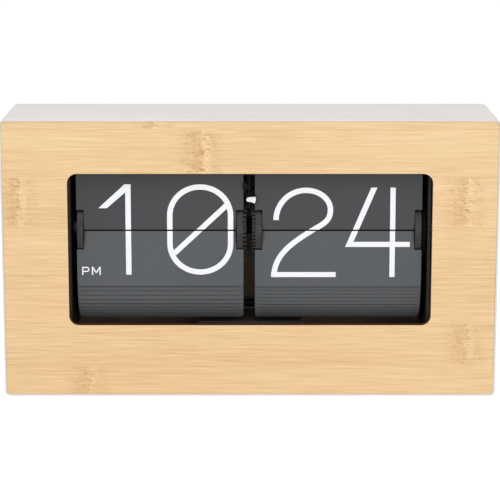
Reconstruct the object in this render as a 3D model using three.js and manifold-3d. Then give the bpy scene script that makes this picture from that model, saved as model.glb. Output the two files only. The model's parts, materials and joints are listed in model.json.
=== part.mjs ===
// Box-shaped flip clock. Millimetres, +Z up, front towards -Y, origin under the middle on the resting face.
import * as THREE from 'three';
import { mergeVertices } from 'three/addons/utils/BufferGeometryUtils.js';
import Module from 'manifold-3d';

const wasm = await Module();
wasm.setup();

// Case
const CASE_W = 360;
const CASE_H = 205;
const CASE_D = 85;
const CASE_WALL = 1.5;
const CASE_RADIUS = 4;
const LEDGE_WIDTH = 8;
const LUG_SIZE = 12;
const LUG_DEPTH = 5;
const LUG_INSET = 3;
const GAP = 0.3;

// Bamboo front and its window
const PANEL_T = 5.5;
const WINDOW_W = 263.4;
const WINDOW_H = 112;
const WINDOW_RISE = 7;
const WINDOW_RADIUS = 7;

// Rear cover
const COVER_T = 1.4;
const COVER_RECESS = 1.1;
const KEYHOLE_X = 110;
const KEYHOLE_DROP = 25;
const KEYHOLE_R = 4.6;
const KEYHOLE_SLOT_W = 4.4;
const KEYHOLE_SLOT_L = 11;
const SCREW_R = 1.5;
const SCREW_HEAD_R = 3;
const SCREW_HEAD_T = 0.8;
const SCREW_BITE = 3.5;

// Leaves and drums. Angles run from the front of a drum, upwards positive.
const DRUM_MID_X = -0.6;
const LEAF_W = 121.4;
const DRUM_GAP = 8.3;
const LEAF_L = 41;
const LEAF_T = 0.35;
const LEAF_RADIUS = 2.4;
const NOTCH_W = 5.3;
const NOTCH_L = 13.6;
const PIN_R = 24.6;
const KNUCKLE_HALF_T = 0.5;
const WAIST_HALF_T = 0.2;
const ROOT_END_DEG = 2.4;
const REAR_LAST_DEG = 200;
const SEEN_LEAVES = 11;
const FLAP_FORWARD = 25.6;
const FLAP_RISE = 3.42;
const FLAP_ROOT_R = 0.9;
const FLAP_LEAN_DEG = 1.2;
const FLAP_BEHIND_FRONT = 8;
const DRUM_ABOVE_WINDOW_BOTTOM = 67.1;
const MINUTE_LEAVES = 60;
const MINUTE_FIRST_DEG = 2;
const HOUR_LEAVES = 48;
const HOUR_FIRST_DEG = 2.9;
const TIP_FAN = 0.55;
const UPPER_LEAN_DEG = 3;
const UPPER_LEAN_SPAN_DEG = 86;
const SHINGLE_DEG = 3;

// Axle, hubs and wheels
const AXLE_R = 2.5;
const HUB_R = 9;
const HUB_SPIGOT_R = 6;
const WHEEL_R = 27.3;
const WHEEL_T = 4.4;
const RIM_T = 3.6;
const WEB_T = 1.8;
const WHEEL_HOLES = 6;
const WHEEL_HOLE_R = 4;
const WHEEL_HOLE_CIRCLE_R = 16;
const CROWN_T = 2;
const CROWN_CLEAR = 0.3;
const CROWN_SEAT = 0.4;
const CROWN_INSIDE = 1;
const CARRY_LUG_T = 1;
const CARRY_LUG_R = 1.2;
const NUT_R = 5;
const NUT_T = 3;
const AXLE_END = 1;

// Gears
const MODULE = 1;
const DRIVE_TEETH = 48;
const PINION_TEETH = 10;
const SETTING_TEETH = 24;
const GEAR_T = 2.5;
const ADDENDUM = 0.85;
const DEDENDUM = 1.2;
const TOOTH_SHARE = 0.8;
const GEAR_PLAY = 0.1;
const CARRY_TEETH = 8;
const CARRY_SPACING = 30.7;
const CARRY_DEG = 125;
const PINION_DEG = -100;
const PINION_SPACING = (DRIVE_TEETH + PINION_TEETH) * MODULE / 2 + GEAR_PLAY;
const SETTING_SPACING = (DRIVE_TEETH + SETTING_TEETH) * MODULE / 2 + GEAR_PLAY;

// Frame
const PLATE_T = 2;
const PLATE_BELOW_WINDOW = 12.5;
const PLATE_ABOVE_WINDOW = 18.5;
const PLATE_BACK = 34;
const PLATE_CHAMFER = 12;
const PLATE_SIDE_GAP = 4.1;
const EAR_W = 14;
const EAR_H = 26;
const BAR_R = 3;
const BAR_INSET = 6;
const REAR_BAR_RISE = 6;
const REAR_BAR_ABOVE_BATTERY = 4.6;
const BRACKET_T = 1.2;
const BRACKET_BAND = 9;
const FINGER_ABOVE_DRUM = 23.7;
const FINGER_H = 5.6;
const FINGER_T = 1.8;
const FINGER_TAIL_R = 1.8;
const FINGER_NECK_H = 4.5;
const FINGER_FLARE_L = 1.4;
const MINUTE_FINGER_TAIL = -2.6;
const HOUR_FINGER_TAIL = 0.8;

// Drive unit and time setting
const DRIVE_BAY_CLEAR = 5;
const DRIVE_D = 46;
const DRIVE_H = 40;
const DRIVE_RADIUS = 3;
const DRIVE_FORWARD = 5.75;
const DRIVE_DOWN = 10;
const MOTOR_R = 12;
const MOTOR_OUT = 4;
const SHAFT_R = 1.5;
const SHAFT_END = 2;
const SETTING_REACH = 35.7;
const THUMB_LEAST_R = 15.5;
const THUMB_T = 8;
const THUMB_TEETH = 22;
const THUMB_X = 138;
const THUMB_PROUD = 0.9;
const THUMB_SLOT_HALF = 11;
const THUMB_SIDE_CLEAR = 1;
const THUMB_UNDER = 5;
const SHAFT_SEAT = 8;
const SETTING_BRACKET_HALF_D = 7;
const SETTING_FOOT_H = 10;
const SETTING_EAR_H = 6;

// Battery
const CELL_R = 17.1;
const CELL_L = 58.5;
const CELL_CAP_R = 4.5;
const CELL_CAP_L = 3;
const CELL_EDGE = 0.8;
const CELL_PLAY = 2;
const BOX_WALL = 1.6;
const BOX_BOTTOM = 6;
const BOX_SPARE = 12;
const DOOR_T = 1.4;
const DOOR_LIP = 3;
const DOOR_RIBS = 3;
const RIB_H = 0.8;
const RIB_W = 1;
const RIB_L = 18;
const RIB_PITCH = 2.4;
const RIB_DROP = 5;
const CONTACT_T = 0.8;
const CONTACT_EDGE = 3;
const TAB_W = 4;
const TAB_T = 0.8;
const TAB_OUT = 3;
const TAB_RISE = 12;
const SPRING_WIRE_R = 0.6;
const SPRING_R = 7;
const SPRING_TURNS = 4;
const SPRING_STEPS = 8;
const SPRING_TAPER = 0.3;
const LEAD_R = 0.7;
const LEAD_BEND = 8;

// How far a cutting form passes the faces that it cuts
const OVER = 1;

// Places that follow from the sizes
const FRONT_Y = -CASE_D / 2;
const BACK_Y = CASE_D / 2;
const PANEL_BACK_Y = FRONT_Y + PANEL_T;
const COVER_BACK_Y = BACK_Y - COVER_RECESS;
const COVER_FRONT_Y = COVER_BACK_Y - COVER_T;
const INNER_W = CASE_W - 2 * CASE_WALL;
const INNER_H = CASE_H - 2 * CASE_WALL;
const INNER_RADIUS = CASE_RADIUS - CASE_WALL;
const WINDOW_BOTTOM = (CASE_H - WINDOW_H) / 2 + WINDOW_RISE;
const KEYHOLE_Z = CASE_H - KEYHOLE_DROP;
const DRUM_Y = FRONT_Y + FLAP_BEHIND_FRONT + FLAP_FORWARD;
const DRUM_Z = WINDOW_BOTTOM + DRUM_ABOVE_WINDOW_BOTTOM;
const FINGER_Z = DRUM_Z + FINGER_ABOVE_DRUM;
const PLATE_BOTTOM = WINDOW_BOTTOM - PLATE_BELOW_WINDOW;
const PLATE_TOP = WINDOW_BOTTOM + WINDOW_H + PLATE_ABOVE_WINDOW;
const DRUM_OUT = DRUM_GAP / 2 + LEAF_W;
const PLATE_IN = DRUM_OUT + PLATE_SIDE_GAP;
const PLATE_FRONT = PANEL_BACK_Y + GAP;
const WHEEL_MARGIN = (NOTCH_W - WHEEL_T) / 2;
const GEAR_X = DRUM_MID_X + DRUM_OUT + CROWN_CLEAR * 2;
const RIGHT_PLATE_X = DRUM_MID_X + PLATE_IN;
const LEFT_PLATE_X = DRUM_MID_X - PLATE_IN;
const DRIVE_X = RIGHT_PLATE_X + PLATE_T + GAP;
const DRIVE_W = INNER_W / 2 - DRIVE_X - MOTOR_OUT - DRIVE_BAY_CLEAR;

// The setting shaft sits as far back as its gear reaches or its smallest thumb wheel lets it
const SETTING_Y = Math.min(COVER_BACK_Y + THUMB_PROUD - THUMB_LEAST_R, DRUM_Y + SETTING_REACH);
const SETTING_Z = DRUM_Z + Math.sqrt(SETTING_SPACING ** 2 - (SETTING_Y - DRUM_Y) ** 2);
const THUMB_R = COVER_BACK_Y + THUMB_PROUD - SETTING_Y;
const SETTING_OUT_X = THUMB_X + THUMB_T + 2 * GAP + BRACKET_T;

const BRACKET_FRONT = DRUM_Y - FLAP_FORWARD - LEAF_T / 2;
const BAR_Y_FRONT = PLATE_FRONT + BAR_INSET;
const BAR_Y_REAR = PLATE_BACK - BAR_INSET;
const BAR_Z_LOW = PLATE_BOTTOM + BAR_INSET;
const BAR_Z_HIGH = PLATE_TOP - BAR_INSET;
const CARRY_TIP_R = (CARRY_TEETH / 2 + ADDENDUM) * crownModule(HOUR_LEAVES);

const COLOURS = {
  case: [0xdfdbd8, 0.55, 0.1],
  bamboo: [0xe9c796, 0.6, 0],
  leaf: [0x53565a, 0.6, 0],
  black: [0x18181a, 0.5, 0],
  frame: [0x1c1c1e, 0.5, 0.6],
  steel: [0xb9bcc0, 0.35, 1],
  nylon: [0xe9e7e0, 0.5, 0],
  brass: [0xc9a45a, 0.4, 1],
  cell: [0x35538f, 0.4, 0.2],
  red: [0xb3261e, 0.5, 0],
};

const clock = new THREE.Group();

function rad(degrees) {
  return THREE.MathUtils.degToRad(degrees);
}

// Module of a toothed rim as large as the drum's end wheels
function crownModule(teeth) {
  return 2 * WHEEL_R / (teeth + 2);
}

function addPart(name, form, colour) {
  const [color, roughness, metalness] = COLOURS[colour];
  const material = new THREE.MeshStandardMaterial({ color, roughness, metalness });
  const mesh = new THREE.Mesh(toGeometry(form), material);
  mesh.name = name;
  clock.add(mesh);
}

// Booleans: a closed geometry becomes a solid, and a solid stays as it is
function toSolid(form) {
  if (form instanceof wasm.Manifold) return form;
  const bare = form.index ? form.toNonIndexed() : form.clone();
  bare.deleteAttribute('normal');
  bare.deleteAttribute('uv');
  const merged = mergeVertices(bare, 1e-4);
  const vertProperties = new Float32Array(merged.attributes.position.array);
  const triVerts = new Uint32Array(merged.index.array);
  return new wasm.Manifold(new wasm.Mesh({ numProp: 3, vertProperties, triVerts }));
}

function toGeometry(form) {
  if (form instanceof THREE.BufferGeometry) return form;
  const mesh = form.getMesh();
  const geometry = new THREE.BufferGeometry();
  geometry.setAttribute('position', new THREE.BufferAttribute(mesh.vertProperties, 3));
  geometry.setIndex(new THREE.BufferAttribute(mesh.triVerts, 1));
  return geometry;
}

function join(...forms) {
  return forms.map(toSolid).reduce((whole, solid) => whole.add(solid));
}

function cut(form, ...tools) {
  return tools.map(toSolid).reduce((rest, tool) => rest.subtract(tool), toSolid(form));
}

// Basic forms
function box(x0, x1, y0, y1, z0, z1) {
  const geometry = new THREE.BoxGeometry(x1 - x0, y1 - y0, z1 - z0);
  return geometry.translate((x0 + x1) / 2, (y0 + y1) / 2, (z0 + z1) / 2);
}

function roundedRect(w, h, r) {
  const shape = new THREE.Shape();
  shape.moveTo(-w / 2 + r, -h / 2);
  shape.lineTo(w / 2 - r, -h / 2);
  shape.absarc(w / 2 - r, -h / 2 + r, r, -Math.PI / 2, 0);
  shape.lineTo(w / 2, h / 2 - r);
  shape.absarc(w / 2 - r, h / 2 - r, r, 0, Math.PI / 2);
  shape.lineTo(-w / 2 + r, h / 2);
  shape.absarc(-w / 2 + r, h / 2 - r, r, Math.PI / 2, Math.PI);
  shape.lineTo(-w / 2, -h / 2 + r);
  shape.absarc(-w / 2 + r, -h / 2 + r, r, Math.PI, 1.5 * Math.PI);
  return shape;
}

// A shape drawn in X and Z, pushed back along Y from y0 to y1
function slab(shape, y0, y1, curveSegments = 2) {
  const geometry = new THREE.ExtrudeGeometry(shape, { depth: y1 - y0, bevelEnabled: false, curveSegments });
  return geometry.rotateX(Math.PI / 2).translate(0, y1, 0);
}

// A shape drawn in Y and Z, pushed along X from x0 to x1
function plate(shape, x0, x1, curveSegments = 4) {
  const geometry = new THREE.ExtrudeGeometry(shape, { depth: x1 - x0, bevelEnabled: false, curveSegments });
  return geometry.rotateX(Math.PI / 2).rotateZ(Math.PI / 2).translate(x0, 0, 0);
}

function rodX(x0, x1, r, y, z, sides = 16) {
  const geometry = new THREE.CylinderGeometry(r, r, x1 - x0, sides);
  return geometry.rotateZ(Math.PI / 2).translate((x0 + x1) / 2, y, z);
}

function rodY(y0, y1, r, x, z, sides = 12) {
  return new THREE.CylinderGeometry(r, r, y1 - y0, sides).translate(x, (y0 + y1) / 2, z);
}

// A profile of (radius, x) points turned about an X axis through (y, z)
function turned(points, y, z, segments = 32) {
  const profile = points.map(([r, x]) => new THREE.Vector2(r, x));
  const geometry = new THREE.LatheGeometry([...profile, profile[0]], segments);
  return geometry.rotateZ(-Math.PI / 2).translate(0, y, z);
}

function tube(x0, x1, rOut, rIn, y, z, segments = 24) {
  return turned([[rIn, x0], [rOut, x0], [rOut, x1], [rIn, x1]], y, z, segments);
}

// A point on a drum, from its angle and radius, as Y and Z
function drumPoint(radius, degrees) {
  return [DRUM_Y - radius * Math.cos(rad(degrees)), DRUM_Z + radius * Math.sin(rad(degrees))];
}

// A gear between x0 and x1 about (y, z). The phase is the angle of one tooth's middle.
function gear(teeth, module, x0, x1, y, z, bore, phaseDegrees) {
  const pitch = teeth * module / 2;
  const tip = pitch + ADDENDUM * module;
  const root = pitch - DEDENDUM * module;
  const step = 2 * Math.PI / teeth;
  const half = step / 4 * TOOTH_SHARE;
  const shape = new THREE.Shape();
  const edge = [[root, -1.5 * half], [tip, -0.6 * half], [tip, 0.6 * half], [root, 1.5 * half]];
  for (let i = 0; i < teeth; i += 1) {
    for (const [radius, turn] of edge) {
      const angle = rad(phaseDegrees) + i * step + turn;
      const method = i === 0 && turn === edge[0][1] ? 'moveTo' : 'lineTo';
      shape[method](y - radius * Math.cos(angle), z + radius * Math.sin(angle));
    }
  }
  const blank = plate(shape, x0, x1);
  return bore > 0 ? cut(blank, rodX(x0 - OVER, x1 + OVER, bore, y, z, 36)) : blank;
}

// A gear of the train beside the minute drum
function driveGear(teeth, y, z, bore, phaseDegrees) {
  return gear(teeth, MODULE, GEAR_X, GEAR_X + GEAR_T, y, z, bore, phaseDegrees);
}

// Case: a folded sleeve with a ledge behind the front panel and four lugs for the rear cover
function caseShell() {
  const midZ = CASE_H / 2;
  const outer = slab(roundedRect(CASE_W, CASE_H, CASE_RADIUS), FRONT_Y, BACK_Y);
  const inner = slab(roundedRect(INNER_W, INNER_H, INNER_RADIUS), FRONT_Y - OVER, BACK_Y + OVER);
  const ledge = slab(
    roundedRect(INNER_W + CASE_WALL, INNER_H + CASE_WALL, INNER_RADIUS), PLATE_FRONT, PLATE_FRONT + CASE_WALL);
  const ledgeHole = slab(
    roundedRect(INNER_W - 2 * LEDGE_WIDTH, INNER_H - 2 * LEDGE_WIDTH, INNER_RADIUS), FRONT_Y, BACK_Y);
  const parts = [cut(outer, inner), cut(ledge, ledgeHole)];
  for (const [x, z] of lugPlaces()) {
    const half = LUG_SIZE / 2;
    const [y0, y1] = [COVER_FRONT_Y - GAP - LUG_DEPTH, COVER_FRONT_Y - GAP];
    const [x0, x1] = sorted(-Math.sign(x) * half, Math.sign(x) * (half + LUG_INSET));
    const [z0, z1] = sorted(-Math.sign(z) * half, Math.sign(z) * (half + LUG_INSET));
    const lug = box(-half, half, y0, y1, z0, z1).translate(x, 0, z);
    const wing = box(x0, x1, y0, y1, -half, half).translate(x, 0, z);
    const hole = rodY(COVER_FRONT_Y - 2 * LUG_DEPTH, COVER_BACK_Y, SCREW_R + GAP, x, z);
    parts.push(cut(join(lug, wing), hole));
  }
  return join(...parts).translate([0, 0, midZ]);
}

// Screw places of the rear cover, from the middle of the case
function lugPlaces() {
  const x = INNER_W / 2 - LUG_SIZE / 2 - LUG_INSET + CASE_WALL / 2;
  const z = INNER_H / 2 - LUG_SIZE / 2 - LUG_INSET + CASE_WALL / 2;
  return [[-x, -z], [x, -z], [-x, z], [x, z]];
}

function frontPanel() {
  const shape = roundedRect(INNER_W - 2 * GAP, INNER_H - 2 * GAP, INNER_RADIUS - GAP);
  const panel = slab(shape, FRONT_Y, PANEL_BACK_Y).translate(0, 0, CASE_H / 2);
  const windowMid = WINDOW_BOTTOM + WINDOW_H / 2;
  const opening = slab(roundedRect(WINDOW_W, WINDOW_H, WINDOW_RADIUS), FRONT_Y - OVER, PANEL_BACK_Y + OVER, 8);
  const holes = earPlaces().map(
    ([x, z]) => rodY(PANEL_BACK_Y - SCREW_BITE - GAP, PANEL_BACK_Y + OVER, SCREW_R + GAP, x, z));
  return cut(panel, opening.translate(0, 0, windowMid), ...holes);
}

// Screw places of the frame's ears on the back of the front panel
function earPlaces() {
  const x = PLATE_IN + PLATE_T + EAR_W / 2;
  const heights = [PLATE_BOTTOM + EAR_H / 2, PLATE_TOP - EAR_H / 2];
  return [-x, x].flatMap((side) => heights.map((z) => [DRUM_MID_X + side, z]));
}

// Inner size of the battery box
const BOX_IN_W = CELL_L + CELL_CAP_L + BOX_SPARE;
const BOX_IN_H = 2 * CELL_R + CELL_PLAY;
const BOX_FRONT_Y = COVER_FRONT_Y - GAP - BOX_IN_H - BOX_WALL;
const CELL_Y = COVER_FRONT_Y - GAP - BOX_IN_H / 2;
const CELL_Z = BOX_BOTTOM + BOX_WALL + BOX_IN_H / 2;
const TAB_Z = CELL_Z + TAB_RISE;
const BOX_TOP_Z = CELL_Z + BOX_IN_H / 2 + BOX_WALL;
const REAR_BAR_Z = Math.max(BAR_Z_LOW + REAR_BAR_RISE, BOX_TOP_Z + REAR_BAR_ABOVE_BATTERY + BAR_R);

function rearCover() {
  const shape = roundedRect(INNER_W - 2 * GAP, INNER_H - 2 * GAP, INNER_RADIUS - GAP);
  const sheet = slab(shape, COVER_FRONT_Y, COVER_BACK_Y).translate(0, 0, CASE_H / 2);
  const [y0, y1] = [COVER_FRONT_Y - OVER, COVER_BACK_Y + OVER];
  const tools = [
    box(-BOX_IN_W / 2, BOX_IN_W / 2, y0, y1, CELL_Z - BOX_IN_H / 2, CELL_Z + BOX_IN_H / 2),
    box(THUMB_X - THUMB_SIDE_CLEAR, THUMB_X + THUMB_T + THUMB_SIDE_CLEAR, y0, y1,
      SETTING_Z - THUMB_SLOT_HALF, SETTING_Z + THUMB_SLOT_HALF),
  ];
  for (const x of [-KEYHOLE_X, KEYHOLE_X]) {
    const half = KEYHOLE_SLOT_W / 2;
    tools.push(rodY(y0, y1, KEYHOLE_R, x, KEYHOLE_Z));
    tools.push(box(x - half, x + half, y0, y1, KEYHOLE_Z, KEYHOLE_Z + KEYHOLE_SLOT_L));
  }
  for (const [x, z] of lugPlaces()) {
    tools.push(rodY(y0, y1, SCREW_R + GAP, x, z + CASE_H / 2));
  }
  return cut(sheet, ...tools);
}

// A pan head screw that points forwards, with its head from y backwards
function panScrew(x, y, z, length) {
  const head = rodY(y, y + SCREW_HEAD_T, SCREW_HEAD_R, x, z);
  return join(head, rodY(y - length, y + SCREW_HEAD_T / 2, SCREW_R, x, z, 8));
}

// One leaf, drawn with its hinge line at the origin: X along the hinge, Y along the leaf
function leafShape(cornerSteps) {
  const half = LEAF_W / 2;
  const points = [[-half, NOTCH_L], [-half + NOTCH_W, NOTCH_L], [-half + NOTCH_W, 0],
    [half - NOTCH_W, 0], [half - NOTCH_W, NOTCH_L], [half, NOTCH_L]];
  for (const side of [1, -1]) {
    for (let i = 0; i <= cornerSteps; i += 1) {
      const turn = (side > 0 ? i : cornerSteps - i) / cornerSteps * Math.PI / 2;
      const out = LEAF_RADIUS * (Math.cos(turn) - 1);
      const down = LEAF_RADIUS * (Math.sin(turn) - 1);
      points.push([side * (half + out), LEAF_L + down]);
    }
  }
  return new THREE.Shape(points.map(([x, y]) => new THREE.Vector2(x, y)));
}

// A leaf at the hinge point, leaning back from upright by an angle
function leafBlade(midX, y, z, leanDegrees, cornerSteps) {
  const flat = new THREE.ExtrudeGeometry(leafShape(cornerSteps), { depth: LEAF_T, bevelEnabled: false });
  const turn = Math.PI / 2 - rad(leanDegrees);
  return flat.translate(0, 0, -LEAF_T / 2).rotateX(turn).translate(midX, y, z);
}

// The knuckles along the hinge lines of neighbouring leaves, which touch each other round the drum
function leafKnuckles(midX, angles, pitch) {
  const rows = [];
  const first = Math.min(...angles);
  const last = Math.max(...angles);
  rows.push([first - ROOT_END_DEG, WAIST_HALF_T]);
  for (let angle = first; angle < last + pitch / 2; angle += pitch) {
    rows.push([angle, KNUCKLE_HALF_T]);
    rows.push([angle + pitch / 2 < last ? angle + pitch / 2 : last + ROOT_END_DEG, WAIST_HALF_T]);
  }
  const outer = rows.map(([angle, half]) => drumPoint(PIN_R + half, angle));
  const inner = rows.map(([angle, half]) => drumPoint(PIN_R - half, angle)).reverse();
  const shape = new THREE.Shape([...outer, ...inner].map(([y, z]) => new THREE.Vector2(y, z)));
  const half = LEAF_W / 2 - NOTCH_W;
  return plate(shape, midX - half, midX + half);
}

// Lean of an upper or rear leaf: nearly upright in front, lying over its neighbours behind
function upperLean(angle, first) {
  const share = Math.min(1, (angle - first) / UPPER_LEAN_SPAN_DEG);
  const least = UPPER_LEAN_DEG / (first + SHINGLE_DEG);
  return Math.min(180, (angle + SHINGLE_DEG) * (least + (1 - least) * share));
}

// Lean of a fallen leaf: it hangs, and the ones in front fan out at their tips
function lowerLean(angle, first, index) {
  const pin = PIN_R * Math.cos(rad(angle));
  const tip = Math.min(pin, PIN_R * Math.cos(rad(first)) - index * TIP_FAN);
  return 180 - THREE.MathUtils.radToDeg(Math.asin((pin - tip) / LEAF_L));
}

// The leaves of one drum that lie still: the fallen ones, or the upper ones with those behind
function leafPack(midX, count, firstDegrees, upper) {
  const pitch = 360 / count;
  const topFirst = firstDegrees + 2 * pitch;
  const uppers = Math.floor((REAR_LAST_DEG - topFirst) / pitch) + 1;
  const number = upper ? uppers : count - 1 - uppers;
  const start = upper ? topFirst : firstDegrees;
  const step = upper ? pitch : -pitch;
  const angles = Array.from({ length: number }, (_, i) => start + i * step);
  return angles.reduce((pack, angle, i) => {
    const lean = upper ? upperLean(angle, topFirst) : lowerLean(angle, firstDegrees, i);
    const [y, z] = drumPoint(PIN_R, angle);
    const cornerSteps = i < SEEN_LEAVES && !upper ? 2 : 1;
    return pack.add(toSolid(leafBlade(midX, y, z, lean, cornerSteps)));
  }, toSolid(leafKnuckles(midX, angles, pitch)));
}

// The leaf that falls next, with a thicker hinge line of its own
function flap(midX) {
  const y = DRUM_Y - FLAP_FORWARD;
  const z = DRUM_Z + FLAP_RISE;
  const half = LEAF_W / 2 - NOTCH_W;
  return join(leafBlade(midX, y, z, FLAP_LEAN_DEG, 4), rodX(midX - half, midX + half, FLAP_ROOT_R, y, z, 8));
}

// End wheel of a drum, centred on x: rim and thin web, on the hub's spigot
function endWheel(x, holeCount) {
  const web = WEB_T / 2;
  const rim = WHEEL_T / 2;
  const bore = HUB_SPIGOT_R + GAP;
  const inner = WHEEL_R - RIM_T;
  const profile = [[bore, x - web], [inner, x - web], [inner, x - rim], [WHEEL_R, x - rim],
    [WHEEL_R, x + rim], [inner, x + rim], [inner, x + web], [bore, x + web]];
  const holes = [];
  for (let i = 0; i < holeCount; i += 1) {
    const [y, z] = drumPoint(WHEEL_HOLE_CIRCLE_R, i * 360 / holeCount);
    holes.push(rodX(x - WHEEL_T, x + WHEEL_T, WHEEL_HOLE_R, y, z, 8));
  }
  return cut(turned(profile, DRUM_Y, DRUM_Z), ...holes);
}

// Inner wheel of a drum, with a toothed rim in the middle gap that has a tooth for each leaf
function innerWheel(side, teeth, phase) {
  const leafEnd = DRUM_MID_X + side * DRUM_GAP / 2;
  const rimFace = leafEnd + side * (WHEEL_MARGIN + CROWN_SEAT);
  const crownFace = leafEnd - side * CROWN_T;
  const bore = WHEEL_R - RIM_T - CROWN_INSIDE;
  const [x0, x1] = [rimFace, crownFace].sort((a, b) => a - b);
  const crown = gear(teeth, crownModule(teeth), x0, x1, DRUM_Y, DRUM_Z, bore, phase);
  return join(endWheel(leafEnd + side * NOTCH_W / 2, 0), crown);
}

// Hub of a drum: a tube that runs on the axle, with a spigot for the wheels at each end
function hub(side) {
  const bore = AXLE_R + GAP;
  const inner = DRUM_GAP / 2 + WHEEL_MARGIN;
  const shoulder = inner + WHEEL_T + GAP;
  const outer = DRUM_OUT - WHEEL_MARGIN - WHEEL_T - GAP;
  const end = PLATE_IN - GAP;
  const ends = [[bore, inner], [HUB_SPIGOT_R, inner], [HUB_SPIGOT_R, shoulder], [HUB_R, shoulder],
    [HUB_R, outer], [HUB_SPIGOT_R, outer], [HUB_SPIGOT_R, end], [bore, end]];
  const profile = ends.map(([r, x]) => [r, DRUM_MID_X + side * x]);
  return turned(side > 0 ? profile : profile.reverse(), DRUM_Y, DRUM_Z, 24);
}

// Two lugs on the minute wheel that push the carry star on, each half an hour
function carryLugs() {
  const face = DRUM_MID_X + DRUM_GAP / 2 - CROWN_T;
  const reach = CARRY_SPACING - CARRY_TIP_R - GAP;
  return [0, 1].map((i) => {
    const [y, z] = drumPoint(reach - CARRY_LUG_R, CARRY_DEG + 90 + i * 180);
    return rodX(face - CARRY_LUG_T, face + CROWN_T / 2, CARRY_LUG_R, y, z, 10);
  });
}

// Angle of a tooth of the second gear that is in mesh with a first gear in the given direction
function meshPhase(teethA, phaseA, teethB, direction) {
  const step = 360 / teethA;
  const off = phaseA - direction;
  const least = off - Math.round(off / step) * step;
  return direction + 180 - least * teethA / teethB + 180 / teethB;
}

// Side plate of the frame, with two ears bent outwards behind the front panel
function sidePlate(side, holes) {
  const shape = new THREE.Shape();
  shape.moveTo(PLATE_FRONT, PLATE_BOTTOM);
  shape.lineTo(PLATE_BACK - PLATE_CHAMFER, PLATE_BOTTOM);
  shape.lineTo(PLATE_BACK, PLATE_BOTTOM + PLATE_CHAMFER);
  shape.lineTo(PLATE_BACK, PLATE_TOP - PLATE_CHAMFER);
  shape.lineTo(PLATE_BACK - PLATE_CHAMFER, PLATE_TOP);
  shape.lineTo(PLATE_FRONT, PLATE_TOP);
  const inner = DRUM_MID_X + side * PLATE_IN;
  const [x0, x1] = sorted(inner, inner + side * PLATE_T);
  const [e0, e1] = sorted(inner + side * PLATE_T / 2, inner + side * (PLATE_T + EAR_W));
  const earBack = PLATE_FRONT + PLATE_T;
  const ears = [PLATE_BOTTOM, PLATE_TOP - EAR_H].map((z) => box(e0, e1, PLATE_FRONT, earBack, z, z + EAR_H));
  const bores = holes.map(([y, z, r]) => rodX(x0 - OVER, x1 + OVER, r + GAP, y, z));
  const screws = earPlaces().filter(([x]) => Math.sign(x) === side)
    .map(([x, z]) => rodY(PLATE_FRONT - OVER, earBack + OVER, SCREW_R + GAP, x, z));
  return cut(join(plate(shape, x0, x1), ...ears), ...bores, ...screws);
}

function sorted(a, b) {
  return a < b ? [a, b] : [b, a];
}

// Bracket between the drums: it hangs on the two upper bars and carries the fingers and the carry journal
function centreBracket() {
  const band = BAR_Z_HIGH - BRACKET_BAND;
  const [carryY, carryZ] = drumPoint(CARRY_SPACING, CARRY_DEG);
  const armBack = BAR_Y_FRONT + BAR_R;
  const shape = new THREE.Shape();
  shape.moveTo(BRACKET_FRONT, FINGER_Z - FINGER_H);
  shape.lineTo(armBack, FINGER_Z - FINGER_H);
  shape.lineTo(armBack, band);
  shape.lineTo(carryY - BRACKET_BAND / 2, band);
  shape.lineTo(carryY - BRACKET_BAND / 2, carryZ);
  shape.absarc(carryY, carryZ, BRACKET_BAND / 2, Math.PI, 2 * Math.PI);
  shape.lineTo(carryY + BRACKET_BAND / 2, band);
  shape.lineTo(BAR_Y_REAR + BAR_INSET, band);
  shape.lineTo(BAR_Y_REAR + BAR_INSET, PLATE_TOP);
  shape.lineTo(BRACKET_FRONT, PLATE_TOP);
  const x0 = DRUM_MID_X - BRACKET_T / 2;
  const x1 = DRUM_MID_X + BRACKET_T / 2;
  const places = [[BAR_Y_FRONT, BAR_Z_HIGH, BAR_R], [BAR_Y_REAR, BAR_Z_HIGH, BAR_R], [carryY, carryZ, SHAFT_R]];
  const holes = places.map(([y, z, r]) => rodX(x0 - OVER, x1 + OVER, r + GAP, y, z, 20));
  return cut(plate(shape, x0, x1), ...holes);
}

// Finger that holds a leaf up: rounded where it starts, and flared where it reaches the leaf's edge
function finger(tailX, tipX, z) {
  const back = BRACKET_FRONT - GAP;
  const out = Math.sign(tipX - tailX);
  const neckX = tipX - out * FINGER_FLARE_L;
  const tailMid = tailX + out * FINGER_TAIL_R;
  const shape = new THREE.Shape();
  shape.moveTo(tipX, z - FINGER_H / 2);
  shape.lineTo(tipX, z + FINGER_H / 2);
  shape.lineTo(neckX, z + FINGER_NECK_H / 2);
  shape.lineTo(tailMid, z + FINGER_TAIL_R);
  shape.absarc(tailMid, z, FINGER_TAIL_R, Math.PI / 2, out > 0 ? 1.5 * Math.PI : -Math.PI / 2, out < 0);
  shape.lineTo(neckX, z - FINGER_NECK_H / 2);
  return slab(shape, back - FINGER_T, back);
}

// Closed drive unit with motor and gears inside, a blind bore for its output shaft, and two fixing lugs
function driveUnit(y, z) {
  const [midY, midZ] = [y - DRIVE_FORWARD, z - DRIVE_DOWN];
  const outX = DRIVE_X + DRIVE_W;
  const body = plate(roundedRect(DRIVE_D, DRIVE_H, DRIVE_RADIUS), DRIVE_X, outX).translate(0, midY, midZ);
  const motor = rodX(outX - MOTOR_OUT, outX + MOTOR_OUT, MOTOR_R, midY, midZ, 32);
  return cut(join(body, motor), rodX(DRIVE_X - OVER, DRIVE_X + SHAFT_SEAT + GAP, SHAFT_R + GAP, y, z, 20));
}

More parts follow.
